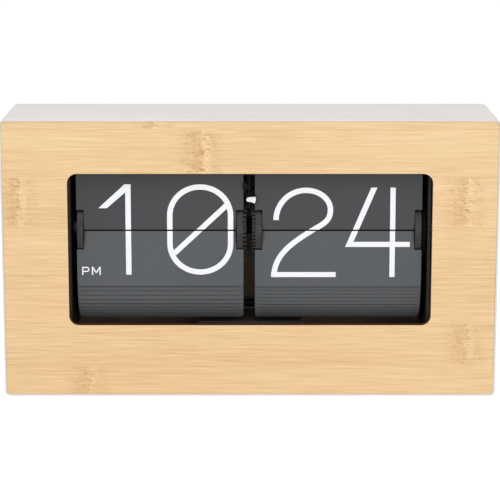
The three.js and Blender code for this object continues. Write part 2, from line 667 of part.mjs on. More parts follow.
// Bracket that holds the outer end of the setting shaft
function settingBracket() {
  const x0 = DRIVE_X;
  const x1 = SETTING_OUT_X;
  const floor = SETTING_Z - THUMB_R - THUMB_UNDER;
  const y0 = SETTING_Y - SETTING_BRACKET_HALF_D;
  const y1 = SETTING_Y + SETTING_BRACKET_HALF_D;
  const foot = box(x0, x0 + BRACKET_T, y0, y1, floor, floor + SETTING_FOOT_H);
  const base = box(x0, x1, y0, y1, floor, floor + BRACKET_T);
  const upright = box(x1 - BRACKET_T, x1, y0, y1, floor, SETTING_Z + SETTING_EAR_H);
  const bore = rodX(x1 - BRACKET_T - OVER, x1 + OVER, SHAFT_R + GAP, SETTING_Y, SETTING_Z, 20);
  return cut(join(foot, base, upright), bore);
}

// Battery box, open to the rear, with a slot in each end for a contact's tab
function batteryBox() {
  const w = BOX_IN_W / 2;
  const h = BOX_IN_H / 2;
  const y1 = COVER_FRONT_Y - GAP;
  const outside = box(-w - BOX_WALL, w + BOX_WALL, BOX_FRONT_Y, y1, BOX_BOTTOM, BOX_TOP_Z);
  const inside = box(-w, w, BOX_FRONT_Y + BOX_WALL, y1 + OVER, CELL_Z - h, CELL_Z + h);
  const slotY = TAB_W / 2 + GAP;
  const slotZ = TAB_T / 2 + GAP;
  const slots = [-1, 1].map((side) => {
    const [x0, x1] = sorted(side * (w - OVER), side * (w + BOX_WALL + OVER));
    return box(x0, x1, CELL_Y - slotY, CELL_Y + slotY, TAB_Z - slotZ, TAB_Z + slotZ);
  });
  return cut(outside, inside, ...slots);
}

// Contact plate at one end of the battery box, with a tab that leaves through the slot
function contact(side) {
  const w = BOX_IN_W / 2 - GAP;
  const [x0, x1] = sorted(side * (w - CONTACT_T), side * w);
  const [t0, t1] = sorted(side * (w - CONTACT_T / 2), side * (w + BOX_WALL + TAB_OUT));
  const h = BOX_IN_H / 2 - CONTACT_EDGE;
  return join(
    box(x0, x1, CELL_Y - h, CELL_Y + h, CELL_Z - h, CELL_Z + h),
    box(t0, t1, CELL_Y - TAB_W / 2, CELL_Y + TAB_W / 2, TAB_Z - TAB_T / 2, TAB_Z + TAB_T / 2));
}

// Single cell with its raised cap at the right end
function batteryCell() {
  const tip = BOX_IN_W / 2 - 2 * GAP - CONTACT_T;
  const shoulder = tip - CELL_CAP_L;
  const base = shoulder - CELL_L;
  const profile = [[0, base], [CELL_R - CELL_EDGE, base], [CELL_R, base + CELL_EDGE],
    [CELL_R, shoulder - CELL_EDGE], [CELL_R - CELL_EDGE, shoulder], [CELL_CAP_R, shoulder],
    [CELL_CAP_R, tip], [0, tip]];
  return turned(profile, CELL_Y, CELL_Z, 20);
}

// Coil spring that presses the cell against the plate contact
function contactSpring() {
  const from = -BOX_IN_W / 2 + CONTACT_T + 2 * GAP + SPRING_WIRE_R;
  const to = BOX_IN_W / 2 - 2 * GAP - CONTACT_T - CELL_CAP_L - CELL_L - GAP - SPRING_WIRE_R;
  const points = [];
  const steps = SPRING_TURNS * SPRING_STEPS;
  for (let i = 0; i <= steps; i += 1) {
    const angle = i / SPRING_STEPS * 2 * Math.PI;
    const radius = SPRING_R * (1 - SPRING_TAPER * i / steps);
    const x = from + (to - from) * i / steps;
    points.push(at(x, CELL_Y + radius * Math.cos(angle), CELL_Z + radius * Math.sin(angle)));
  }
  return wire(points, SPRING_WIRE_R, steps, 5);
}

function at(x, y, z) {
  return new THREE.Vector3(x, y, z);
}

// A round wire through points
function wire(points, r, steps, sides) {
  const shape = new THREE.Shape();
  for (let i = 0; i < sides; i += 1) {
    const angle = i / sides * 2 * Math.PI;
    shape[i === 0 ? 'moveTo' : 'lineTo'](r * Math.cos(angle), r * Math.sin(angle));
  }
  const extrudePath = new THREE.CatmullRomCurve3(points);
  return new THREE.ExtrudeGeometry(shape, { steps, extrudePath, bevelEnabled: false });
}

// Battery door with a skirt that clips into the box, and ribs for the finger
function batteryDoor() {
  const w = BOX_IN_W / 2 - GAP;
  const h = BOX_IN_H / 2 - GAP;
  const y0 = COVER_FRONT_Y - GAP - DOOR_LIP;
  const plateFront = COVER_BACK_Y - DOOR_T;
  const skirt = box(-w, w, y0, COVER_BACK_Y - DOOR_T / 2, CELL_Z - h, CELL_Z + h);
  const hollow = box(-w + DOOR_T, w - DOOR_T, y0 - OVER, plateFront, CELL_Z - h + DOOR_T, CELL_Z + h - DOOR_T);
  const parts = [box(-w, w, plateFront, COVER_BACK_Y, CELL_Z - h, CELL_Z + h), cut(skirt, hollow)];
  for (let i = 0; i < DOOR_RIBS; i += 1) {
    const z = CELL_Z + h - RIB_DROP - RIB_PITCH * i;
    parts.push(box(-RIB_L / 2, RIB_L / 2, plateFront, COVER_BACK_Y + RIB_H, z - RIB_W / 2, z + RIB_W / 2));
  }
  return join(...parts);
}

function axleNut(side) {
  const inner = DRUM_MID_X + side * (PLATE_IN + PLATE_T + GAP);
  const [x0, x1] = sorted(inner, inner + side * NUT_T);
  return cut(rodX(x0, x1, NUT_R, DRUM_Y, DRUM_Z, 6), rodX(x0 - OVER, x1 + OVER, AXLE_R + GAP, DRUM_Y, DRUM_Z));
}

// Case, front and back
addPart('case_shell', caseShell(), 'case');
addPart('front_panel', frontPanel(), 'bamboo');
addPart('rear_cover', rearCover(), 'black');
lugPlaces().forEach(([x, z], i) => {
  const seat = COVER_BACK_Y + GAP;
  const length = seat - COVER_FRONT_Y + GAP + LUG_DEPTH;
  addPart(`rear_screw_${i + 1}`, panScrew(x, seat, z + CASE_H / 2, length), 'steel');
});

// Frame
const [pinionY, pinionZ] = drumPoint(PINION_SPACING, PINION_DEG);
const axleHole = [DRUM_Y, DRUM_Z, AXLE_R];
addPart('side_plate_left', sidePlate(-1, [axleHole]), 'frame');
const shaftHoles = [[pinionY, pinionZ, SHAFT_R], [SETTING_Y, SETTING_Z, SHAFT_R]];
addPart('side_plate_right', sidePlate(1, [axleHole, ...shaftHoles]), 'frame');
const bars = {
  crossbar_front_low: [BAR_Y_FRONT, BAR_Z_LOW],
  crossbar_front_high: [BAR_Y_FRONT, BAR_Z_HIGH],
  crossbar_rear_low: [BAR_Y_REAR, REAR_BAR_Z],
  crossbar_rear_high: [BAR_Y_REAR, BAR_Z_HIGH],
};
for (const [name, [y, z]] of Object.entries(bars)) {
  addPart(name, rodX(LEFT_PLATE_X + GAP, RIGHT_PLATE_X - GAP, BAR_R, y, z), 'frame');
}
earPlaces().forEach(([x, z], i) => {
  const screw = panScrew(x, PLATE_FRONT + PLATE_T + GAP, z, PLATE_T + 2 * GAP + SCREW_BITE);
  addPart(`frame_screw_${i + 1}`, screw, 'steel');
});
addPart('centre_bracket', centreBracket(), 'frame');
const fingerReach = DRUM_GAP / 2 - GAP;
const minuteFinger = finger(DRUM_MID_X + MINUTE_FINGER_TAIL, DRUM_MID_X + fingerReach, FINGER_Z);
const hourFinger = finger(DRUM_MID_X + HOUR_FINGER_TAIL, DRUM_MID_X - fingerReach, FINGER_Z + 2 * FINGER_H);
addPart('minute_finger', minuteFinger, 'nylon');
addPart('hour_finger', hourFinger, 'black');

// Axle
const axleOut = PLATE_T + GAP + NUT_T + AXLE_END;
addPart('main_axle', rodX(LEFT_PLATE_X - axleOut, RIGHT_PLATE_X + axleOut, AXLE_R, DRUM_Y, DRUM_Z), 'steel');
addPart('axle_nut_left', axleNut(-1), 'steel');
addPart('axle_nut_right', axleNut(1), 'steel');
const spacerHalf = DRUM_GAP / 2 + WHEEL_MARGIN - GAP;
const [spacerX0, spacerX1] = [DRUM_MID_X - spacerHalf, DRUM_MID_X + spacerHalf];
addPart('axle_spacer', tube(spacerX0, spacerX1, HUB_SPIGOT_R, AXLE_R + GAP, DRUM_Y, DRUM_Z, 24), 'nylon');

// Drums
const hourMid = DRUM_MID_X - DRUM_GAP / 2 - LEAF_W / 2;
const minuteMid = DRUM_MID_X + DRUM_GAP / 2 + LEAF_W / 2;
addPart('minute_hub', hub(1), 'black');
addPart('minute_inner_wheel', join(innerWheel(1, MINUTE_LEAVES, 0), ...carryLugs()), 'black');
addPart('minute_outer_wheel', endWheel(DRUM_MID_X + DRUM_OUT - NOTCH_W / 2, WHEEL_HOLES), 'black');
addPart('minute_gear', driveGear(DRIVE_TEETH, DRUM_Y, DRUM_Z, HUB_SPIGOT_R + GAP, PINION_DEG), 'black');
addPart('hour_hub', hub(-1), 'black');
addPart('hour_inner_wheel', innerWheel(-1, HOUR_LEAVES, CARRY_DEG), 'black');
addPart('hour_outer_wheel', endWheel(DRUM_MID_X - DRUM_OUT + NOTCH_W / 2, WHEEL_HOLES), 'black');

// Leaves
addPart('minute_flap', flap(minuteMid), 'leaf');
addPart('minute_lower_leaves', leafPack(minuteMid, MINUTE_LEAVES, MINUTE_FIRST_DEG, false), 'leaf');
addPart('minute_upper_leaves', leafPack(minuteMid, MINUTE_LEAVES, MINUTE_FIRST_DEG, true), 'leaf');
addPart('hour_flap', flap(hourMid), 'leaf');
addPart('hour_lower_leaves', leafPack(hourMid, HOUR_LEAVES, HOUR_FIRST_DEG, false), 'leaf');
addPart('hour_upper_leaves', leafPack(hourMid, HOUR_LEAVES, HOUR_FIRST_DEG, true), 'leaf');

// Carry from the minute drum to the hour drum
const [carryY, carryZ] = drumPoint(CARRY_SPACING, CARRY_DEG);
const carryIn = BRACKET_T / 2 + GAP;
const carryOut = DRUM_GAP / 2 - GAP;
const starOut = DRUM_GAP / 2 - CROWN_T - GAP;
const carryPhase = meshPhase(HOUR_LEAVES, CARRY_DEG, CARRY_TEETH, CARRY_DEG);

function carryGear(fromX, toX, bore) {
  return gear(CARRY_TEETH, crownModule(HOUR_LEAVES), fromX, toX, carryY, carryZ, bore, carryPhase);
}

const carryJournal = rodX(DRUM_MID_X - carryOut, DRUM_MID_X + starOut, SHAFT_R, carryY, carryZ);
addPart('carry_pinion', join(carryGear(DRUM_MID_X - carryOut, DRUM_MID_X - carryIn, 0), carryJournal), 'black');
addPart('carry_star', carryGear(DRUM_MID_X + carryIn, DRUM_MID_X + starOut, SHAFT_R + GAP), 'black');

// Drive
addPart('drive_unit', driveUnit(pinionY, pinionZ), 'black');
const pinionPhase = meshPhase(DRIVE_TEETH, PINION_DEG, PINION_TEETH, PINION_DEG);
const outputShaft = rodX(GEAR_X + GEAR_T / 2, DRIVE_X + SHAFT_SEAT, SHAFT_R, pinionY, pinionZ, 20);
addPart('output_pinion', join(driveGear(PINION_TEETH, pinionY, pinionZ, 0, pinionPhase), outputShaft), 'brass');

// Time setting
const settingDeg = THREE.MathUtils.radToDeg(Math.atan2(SETTING_Z - DRUM_Z, DRUM_Y - SETTING_Y));
const settingPhase = meshPhase(DRIVE_TEETH, PINION_DEG, SETTING_TEETH, settingDeg);
const thumbModule = 2 * THUMB_R / (THUMB_TEETH + 2 * ADDENDUM);
addPart('setting_shaft', rodX(GEAR_X, SETTING_OUT_X + SHAFT_END, SHAFT_R, SETTING_Y, SETTING_Z, 20), 'steel');
addPart('setting_gear', driveGear(SETTING_TEETH, SETTING_Y, SETTING_Z, SHAFT_R + GAP, settingPhase), 'nylon');
addPart('setting_wheel',
  gear(THUMB_TEETH, thumbModule, THUMB_X, THUMB_X + THUMB_T, SETTING_Y, SETTING_Z, SHAFT_R + GAP, 0), 'black');
addPart('setting_bracket', settingBracket(), 'frame');

// Battery
addPart('battery_box', batteryBox(), 'black');
addPart('battery_cell', batteryCell(), 'cell');
addPart('contact_left', contact(-1), 'steel');
addPart('contact_right', contact(1), 'steel');
addPart('contact_spring', contactSpring(), 'steel');
addPart('battery_door', batteryDoor(), 'black');

// Leads from the contact tabs to the drive unit, the black one round the front of the battery box
const tabEnd = BOX_IN_W / 2 + BOX_WALL + TAB_OUT;
const unitFloor = pinionZ - DRIVE_DOWN - DRIVE_H / 2 - GAP;
const unitX = DRIVE_X + DRIVE_W / 2;
const lowZ = BOX_BOTTOM + LEAD_BEND;
const riseZ = unitFloor - 2 * LEAD_BEND;
const plateX = RIGHT_PLATE_X - LEAD_BEND;
const blackX = unitX - LEAD_BEND;
const blackY = pinionY - LEAD_BEND;
const boxFront = BOX_FRONT_Y - LEAD_BEND;
const redPath = [at(tabEnd + GAP, CELL_Y, TAB_Z), at(tabEnd + LEAD_BEND, CELL_Y, TAB_Z),
  at((tabEnd + plateX) / 2, CELL_Y / 2, CELL_Z), at(plateX, pinionY, lowZ),
  at(unitX, pinionY, riseZ), at(unitX, pinionY, unitFloor)];
const blackPath = [at(-tabEnd - GAP, CELL_Y, TAB_Z), at(-tabEnd - LEAD_BEND, CELL_Y, TAB_Z),
  at(-tabEnd - LEAD_BEND, BOX_FRONT_Y, CELL_Z), at(-tabEnd + LEAD_BEND, boxFront, lowZ),
  at(tabEnd, boxFront, lowZ), at(plateX, blackY, lowZ), at(blackX, blackY, riseZ), at(blackX, blackY, unitFloor)];
addPart('lead_red', wire(redPath, LEAD_R, 36, 6), 'red');
addPart('lead_black', wire(blackPath, LEAD_R, 48, 6), 'black');

export default clock;
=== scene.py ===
import json
import math

import bmesh
import bpy
from mathutils import Matrix, Vector

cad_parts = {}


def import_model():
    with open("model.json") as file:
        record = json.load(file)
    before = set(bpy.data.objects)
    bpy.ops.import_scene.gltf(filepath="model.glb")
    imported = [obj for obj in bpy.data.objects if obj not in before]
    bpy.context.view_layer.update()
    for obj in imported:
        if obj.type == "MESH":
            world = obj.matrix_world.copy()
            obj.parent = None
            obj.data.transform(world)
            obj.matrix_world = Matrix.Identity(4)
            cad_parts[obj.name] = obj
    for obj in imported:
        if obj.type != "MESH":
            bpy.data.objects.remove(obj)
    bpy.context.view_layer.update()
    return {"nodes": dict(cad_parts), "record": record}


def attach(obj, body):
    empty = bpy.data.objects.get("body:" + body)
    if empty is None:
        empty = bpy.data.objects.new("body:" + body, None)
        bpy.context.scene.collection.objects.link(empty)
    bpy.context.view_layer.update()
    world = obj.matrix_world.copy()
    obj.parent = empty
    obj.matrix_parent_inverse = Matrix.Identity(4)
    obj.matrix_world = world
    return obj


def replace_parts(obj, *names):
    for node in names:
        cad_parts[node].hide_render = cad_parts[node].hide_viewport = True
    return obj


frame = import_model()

MM = 0.001

# Case and window, in millimetres
CASE_W, CASE_H, CASE_D = 360.0, 205.0, 85.0
CASE_WALL, CASE_RADIUS = 1.5, 4.0
INNER_W, INNER_H, INNER_RADIUS = CASE_W - 2 * CASE_WALL, CASE_H - 2 * CASE_WALL, CASE_RADIUS - CASE_WALL
MIDDLE_Z = CASE_H / 2
FRONT_Y = -CASE_D / 2
PANEL_T = 5.5
WINDOW_W, WINDOW_H, WINDOW_BOTTOM, WINDOW_RADIUS = 263.4, 112.0, 53.5, 7.0
GAP, FRONT_GAP = 0.3, 0.1
EDGE = 0.3
LEDGE_W, LEDGE_INTO_WALL, LEDGE_EDGE = 7.8, 0.2, 0.2
LUG_W, LUG_DEPTH, LUG_INTO_WALL = 14.2, 5.0, 0.1

# Rear cover: holes as lowest and highest x, lowest and highest z
COVER_BACK_Y, COVER_T = CASE_D / 2 - 1.1, 1.4
THUMB_SLOT = (137.85, 146.15, 114.96, 136.96)
BATTERY_HOLE = (-36.75, 36.75, 7.6, 43.8)
HOLE_RADIUS = 1.2
KEYHOLE_X, KEYHOLE_Z, KEYHOLE_R, KEYHOLE_SLOT_W, KEYHOLE_SLOT_L = 110.0, 180.0, 4.6, 4.4, 11.0
SCREW_HOLE_R = 1.8
SCREW_PLACES = [(sx * 170.25, MIDDLE_Z + sz * 92.75) for sx in (-1, 1) for sz in (-1, 1)]
# Rear screw: pairs of radius and distance from its seat, and the cross recess in its head
SCREW_PROFILE = [(1.1, -7.0), (1.5, -6.5), (1.5, 0.0), (2.92, 0.0), (3.0, 0.1), (2.96, 0.34), (2.76, 0.56),
                 (2.4, 0.70), (1.9, 0.78), (0.9, 0.8)]
RECESS_L, RECESS_W, RECESS_FLOOR, RECESS_TOP, RECESS_EDGE = 1.65, 0.36, 0.15, 1.6, 0.05
SCREW_TURN, SCREW_TURN_STEP = 11, 23

# Leaves: the hinge line of the next ones, the circle of the other ones' pins, and a leaf's outline
HINGE_Y, HINGE_Z, FLAP_LEAN = -34.5, 124.02, 1.2
DRUM_Y, DRUM_Z, PIN_CIRCLE_R = -8.9, 120.6, 24.6
DRUM_MID_X, DRUM_GAP = -0.6, 8.3
LEAF_W, LEAF_L, LEAF_T, LEAF_RADIUS, LEAF_EDGE = 121.4, 41.0, 0.35, 2.4, 0.07
LEAF_FOOT, FALLEN_FOOT = 0.9, 0.4
NOTCH_W, NOTCH_L = 5.3, 13.6
PIN_R, PIN_OUT, PIN_IN = 0.38, 1.4, 0.5
MINUTE_MID = DRUM_MID_X + (DRUM_GAP + LEAF_W) / 2
HOUR_MID = DRUM_MID_X - (DRUM_GAP + LEAF_W) / 2
# Leaves in a turn, and the place of the first fallen one in degrees
MINUTE_LEAVES, MINUTE_FIRST = 60, 2.0
HOUR_LEAVES, HOUR_FIRST = 48, 2.9
# Place of the last standing leaf at the back, and the lean of the standing ones, in degrees
REAR_LAST, UPPER_LEAN = 200.0, 3
# The stack of fallen leaves: how far its tips fan out, and how far each leaf drops
TIP_FAN, LEAF_DROP, MOST_DROPS = 0.6, 0.3, 10
# Split between the next leaf and the front fallen one, and how far that one stands out
LEAF_SPLIT, FRONT_LEAF_OUT = 1.15, 0.45

# Finger that holds the minute leaf up
FINGER_Z, FINGER_T, FINGER_BEFORE_LEAF, FINGER_EDGE = 145.5, 1.9, 0.65, 0.35

# Printed figures: width of a line, lowest and highest point, and where the two halves end
STROKE = 3.95
HOUR_LOW, HOUR_HIGH = 89.4, 156.5
MINUTE_LOW, MINUTE_HIGH = 87.6, 154.05
UPPER_PRINT_END, LOWER_PRINT_END = HINGE_Z - 0.85, HINGE_Z - 0.93 - LEAF_SPLIT
# The middle of each figure, and the left lower corner of the small letters
ONE_X, ZERO_X, TWO_X, FOUR_X, FIVE_X = -88.5, -36.2, 40.6, 101.6, 96.0
MARK_X, MARK_Z = -122.6, 89.2
# Distance of the print from a leaf's middle, and in metres how far each shape lies over the one before
PRINT_OUT, SHAPE_STEP = LEAF_T / 2 + 0.03, 0.000004

# Meshes: in metres, degrees and the share of a normal along an axis
MERGE_DISTANCE, PLANE_DISTANCE, LEAST_AREA = 1e-6, 1e-7, 1e-12
SHARP_DEGREES, FLAT_NORMAL = 35, 0.999

# Bamboo strips: heights of the glue lines, and a tone for each strip
BAMBOO_STRIPS = (23.5, 55.5, 91.0, 126.0, 164.0, 197.7)
STRIP_TONES = (0.47, 0.55, 0.44, 0.53, 0.46, 0.56, 0.50)
# Growth nodes of the bamboo: place across, lowest and highest point in millimetres, and strength
BAMBOO_NODES = (
    (-67.0, 198.0, 205.0, 0.7), (-33.5, 164.5, 197.5, 1.0), (-166.5, 126.5, 163.5, 0.75),
    (156.5, 126.5, 163.5, 0.8), (158.5, 24.0, 55.0, 0.75), (-117.5, 1.0, 23.0, 0.6),
)
# How far a growth node reaches to both sides and wanders, in metres, and fades up and down, in millimetres
NODE_LEFT, NODE_RIGHT, NODE_RAGGED, NODE_FADE = -0.020, 0.016, 0.020, 1.2
# Across a growth node: its dark band, its light fibres and its specks, and the share of each
NODE_BAND = ((0.0, 0.0), (0.22, 0.30), (0.40, 1.0), (0.535, 0.85), (0.565, 0.15), (0.62, 0.0), (0.74, 0.45),
             (1.0, 0.0))
NODE_FIBRES = ((0.0, 0.0), (0.52, 0.0), (0.575, 1.0), (0.66, 0.8), (0.80, 0.0), (1.0, 0.0))
NODE_SPECKS = ((0.0, 0.0), (0.20, 0.35), (0.40, 0.55), (0.555, 1.0), (0.62, 0.5), (0.85, 0.35), (1.0, 0.0))
BAND_SHARE, FIBRE_SHARE, SPECK_SHARE = 0.58, 0.7, 0.9
# How far a strip's tone shifts its grain, and half the width of a glue line, in metres
STRIP_SHIFT, GLUE_HALF = 57.0, 0.0004

# Painted shade on the leaves, in metres: how far the painted shade in the creases between leaves reaches, and the
# heights where the upper leaf darkens towards its top, a painted shadow of the window's top edge
SHADE_REACH, TOP_SHADE_LOW, TOP_SHADE_HIGH = 0.0035, 0.138, 0.166

# Studio, in metres and watts: floor, backdrop strengths, lamps and camera
FLOOR_HALF, FLOOR_DROP, FLOOR_GLOW = 6.0, 0.0002, 0.55
SOFT_STRENGTH, SEEN_STRENGTH = 0.44, 1.0
LAMP_TARGET = (0, 0, 0.1)
LAMPS = (
    ("key", (-0.7, -1.6, 2.1), 1.5, 17.3), ("fill", (1.0, -2.3, 0.7), 1.5, 13),
    ("top", (0, 0.3, 1.9), 1.5, 9), ("front", (0, -2.6, 0.25), 0.8, 5),
)
CAMERA_PLACE, CAMERA_PITCH, CAMERA_SHIFT = (0.0, -1.374, 0.3993), 10.75, -0.1
FOCAL_PIXELS, PICTURE_PIXELS, SENSOR_WIDTH = 1880.5, 500, 36
CLIP_NEAR, CLIP_FAR = 0.05, 60


# Colours and materials
def linear(r, g, b):
    """A colour as seen on a screen, 0 to 255, in linear values."""
    def one(v):
        v /= 255
        return v / 12.92 if v <= 0.04045 else ((v + 0.055) / 1.055) ** 2.4
    return one(r), one(g), one(b), 1.0


class Nodes:
    """A short way to write a material's nodes."""

    def __init__(self, name, roughness, metallic=0.0, coat=0.0):
        self.material = bpy.data.materials.new(name)
        self.material.use_nodes = True
        self.tree = self.material.node_tree
        self.shader = self.tree.nodes["Principled BSDF"]
        self.shader.inputs["Roughness"].default_value = roughness
        self.shader.inputs["Metallic"].default_value = metallic
        self.shader.inputs["Coat Weight"].default_value = coat
        self.place = self.node("ShaderNodeTexCoord").outputs["Object"]

    def node(self, kind, **settings):
        made = self.tree.nodes.new(kind)
        for key, value in settings.items():
            setattr(made, key, value)
        return made

    def feed(self, socket, value):
        if isinstance(value, bpy.types.NodeSocket):
            self.tree.links.new(value, socket)
        else:
            socket.default_value = value

    def math(self, operation, a, b=0.0):
        made = self.node("ShaderNodeMath", operation=operation)
        for socket, value in zip(made.inputs, (a, b)):
            self.feed(socket, value)
        return made.outputs[0]

    def noise(self, scale, detail, roughness=0.5, place=None):
        scaled = self.node("ShaderNodeVectorMath", operation="MULTIPLY")
        self.feed(scaled.inputs[0], self.place if place is None else place)
        scaled.inputs[1].default_value = scale
        made = self.node("ShaderNodeTexNoise")
        self.feed(made.inputs["Vector"], scaled.outputs[0])
        made.inputs["Scale"].default_value = 1.0
        made.inputs["Detail"].default_value = detail
        made.inputs["Roughness"].default_value = roughness
        return made.outputs["Fac"]

    def ramp(self, value, stops, interpolation="LINEAR"):
        made = self.node("ShaderNodeValToRGB")
        self.feed(made.inputs["Fac"], value)
        ramp = made.color_ramp
        ramp.interpolation = interpolation
        ramp.elements[0].position, ramp.elements[0].color = stops[0]
        ramp.elements[1].position, ramp.elements[1].color = stops[-1]
        for position, colour in stops[1:-1]:
            ramp.elements.new(position).color = colour
        return made.outputs["Color"]

    def mix(self, share, a, b, blend="MIX"):
        made = self.node("ShaderNodeMix", data_type="RGBA", blend_type=blend)
        self.feed(made.inputs["Factor"], share)
        self.feed(made.inputs["A"], a)
        self.feed(made.inputs["B"], b)
        return made.outputs["Result"]

    def between(self, value, low, high, to_low=0.0, to_high=1.0, smooth=False):
        made = self.node("ShaderNodeMapRange", interpolation_type="SMOOTHSTEP" if smooth else "LINEAR")
        for socket, number in zip(made.inputs, (value, low, high, to_low, to_high)):
            self.feed(socket, number)
        return made.outputs["Result"]

    def finish(self, colour, roughness=None, height=None, bump=0.0, distance=0.0001):
        self.feed(self.shader.inputs["Base Color"], colour)
        if roughness is not None:
            self.feed(self.shader.inputs["Roughness"], roughness)
        if height is not None:
            made = self.node("ShaderNodeBump")
            made.inputs["Strength"].default_value = bump
            made.inputs["Distance"].default_value = distance
            self.feed(made.inputs["Height"], height)
            self.feed(self.shader.inputs["Normal"], made.outputs["Normal"])
        return self.material


def grey(v):
    return (v, v, v, 1.0)


def grey_stops(pairs):
    return [(place, grey(v)) for place, v in pairs]


def grained(name, light, dark, roughness, spread, scale, bump, metallic=0.0, coat=0.0, stretch=(1, 1, 1),
            specular=0.5):
    """Moulded, painted or rolled surface: slow tone changes, fine grain and uneven gloss."""
    n = Nodes(name, roughness, metallic, coat)
    n.shader.inputs["Specular IOR Level"].default_value = specular
    slow = n.noise((14, 14, 14), 2)
    fine = n.noise(tuple(scale * s for s in stretch), 4, 0.6)
    tone = n.math("ADD", n.math("MULTIPLY", slow, 0.55), n.math("MULTIPLY", fine, 0.45))
    colour = n.ramp(tone, [(0.32, dark), (0.68, light)])
    gloss = n.between(fine, 0.3, 0.7, roughness - spread, roughness + spread)
    return n.finish(colour, gloss, fine, bump)


def leaf(name, light, dark):
    """Satin sheet, with painted shade where one leaf lies on the next, and painted shade that darkens it towards
    the top.
    """
    n = Nodes(name, 0.5)
    n.shader.inputs["Specular IOR Level"].default_value = 0.35
    fine = n.noise((1800, 1800, 1800), 4, 0.6)
    tone = n.math("ADD", n.math("MULTIPLY", n.noise((11, 11, 14), 2), 0.7), n.math("MULTIPLY", fine, 0.3))
    # Painted shade: ambient occlusion darkens the leaf in the creases where one leaf lies on the next
    crease = n.node("ShaderNodeAmbientOcclusion", samples=10)
    crease.inputs["Distance"].default_value = SHADE_REACH
    open_share = n.between(crease.outputs["AO"], 0.66, 0.97, 0.0, 1.0)
    height = n.node("ShaderNodeSeparateXYZ")
    n.feed(height.inputs[0], n.place)
    # Painted shadow of the window's top edge: darker towards the top of the upper leaf
    painted_top_shade = n.between(height.outputs["Z"], TOP_SHADE_LOW, TOP_SHADE_HIGH, 1.0, 0.80, smooth=True)
    clear = n.ramp(tone, [(0.32, dark), (0.68, light)])
    colour = n.mix(1.0, clear, n.math("MULTIPLY", open_share, painted_top_shade), "MULTIPLY")
    return n.finish(colour, n.between(fine, 0.3, 0.7, 0.44, 0.54), fine, 0.03)


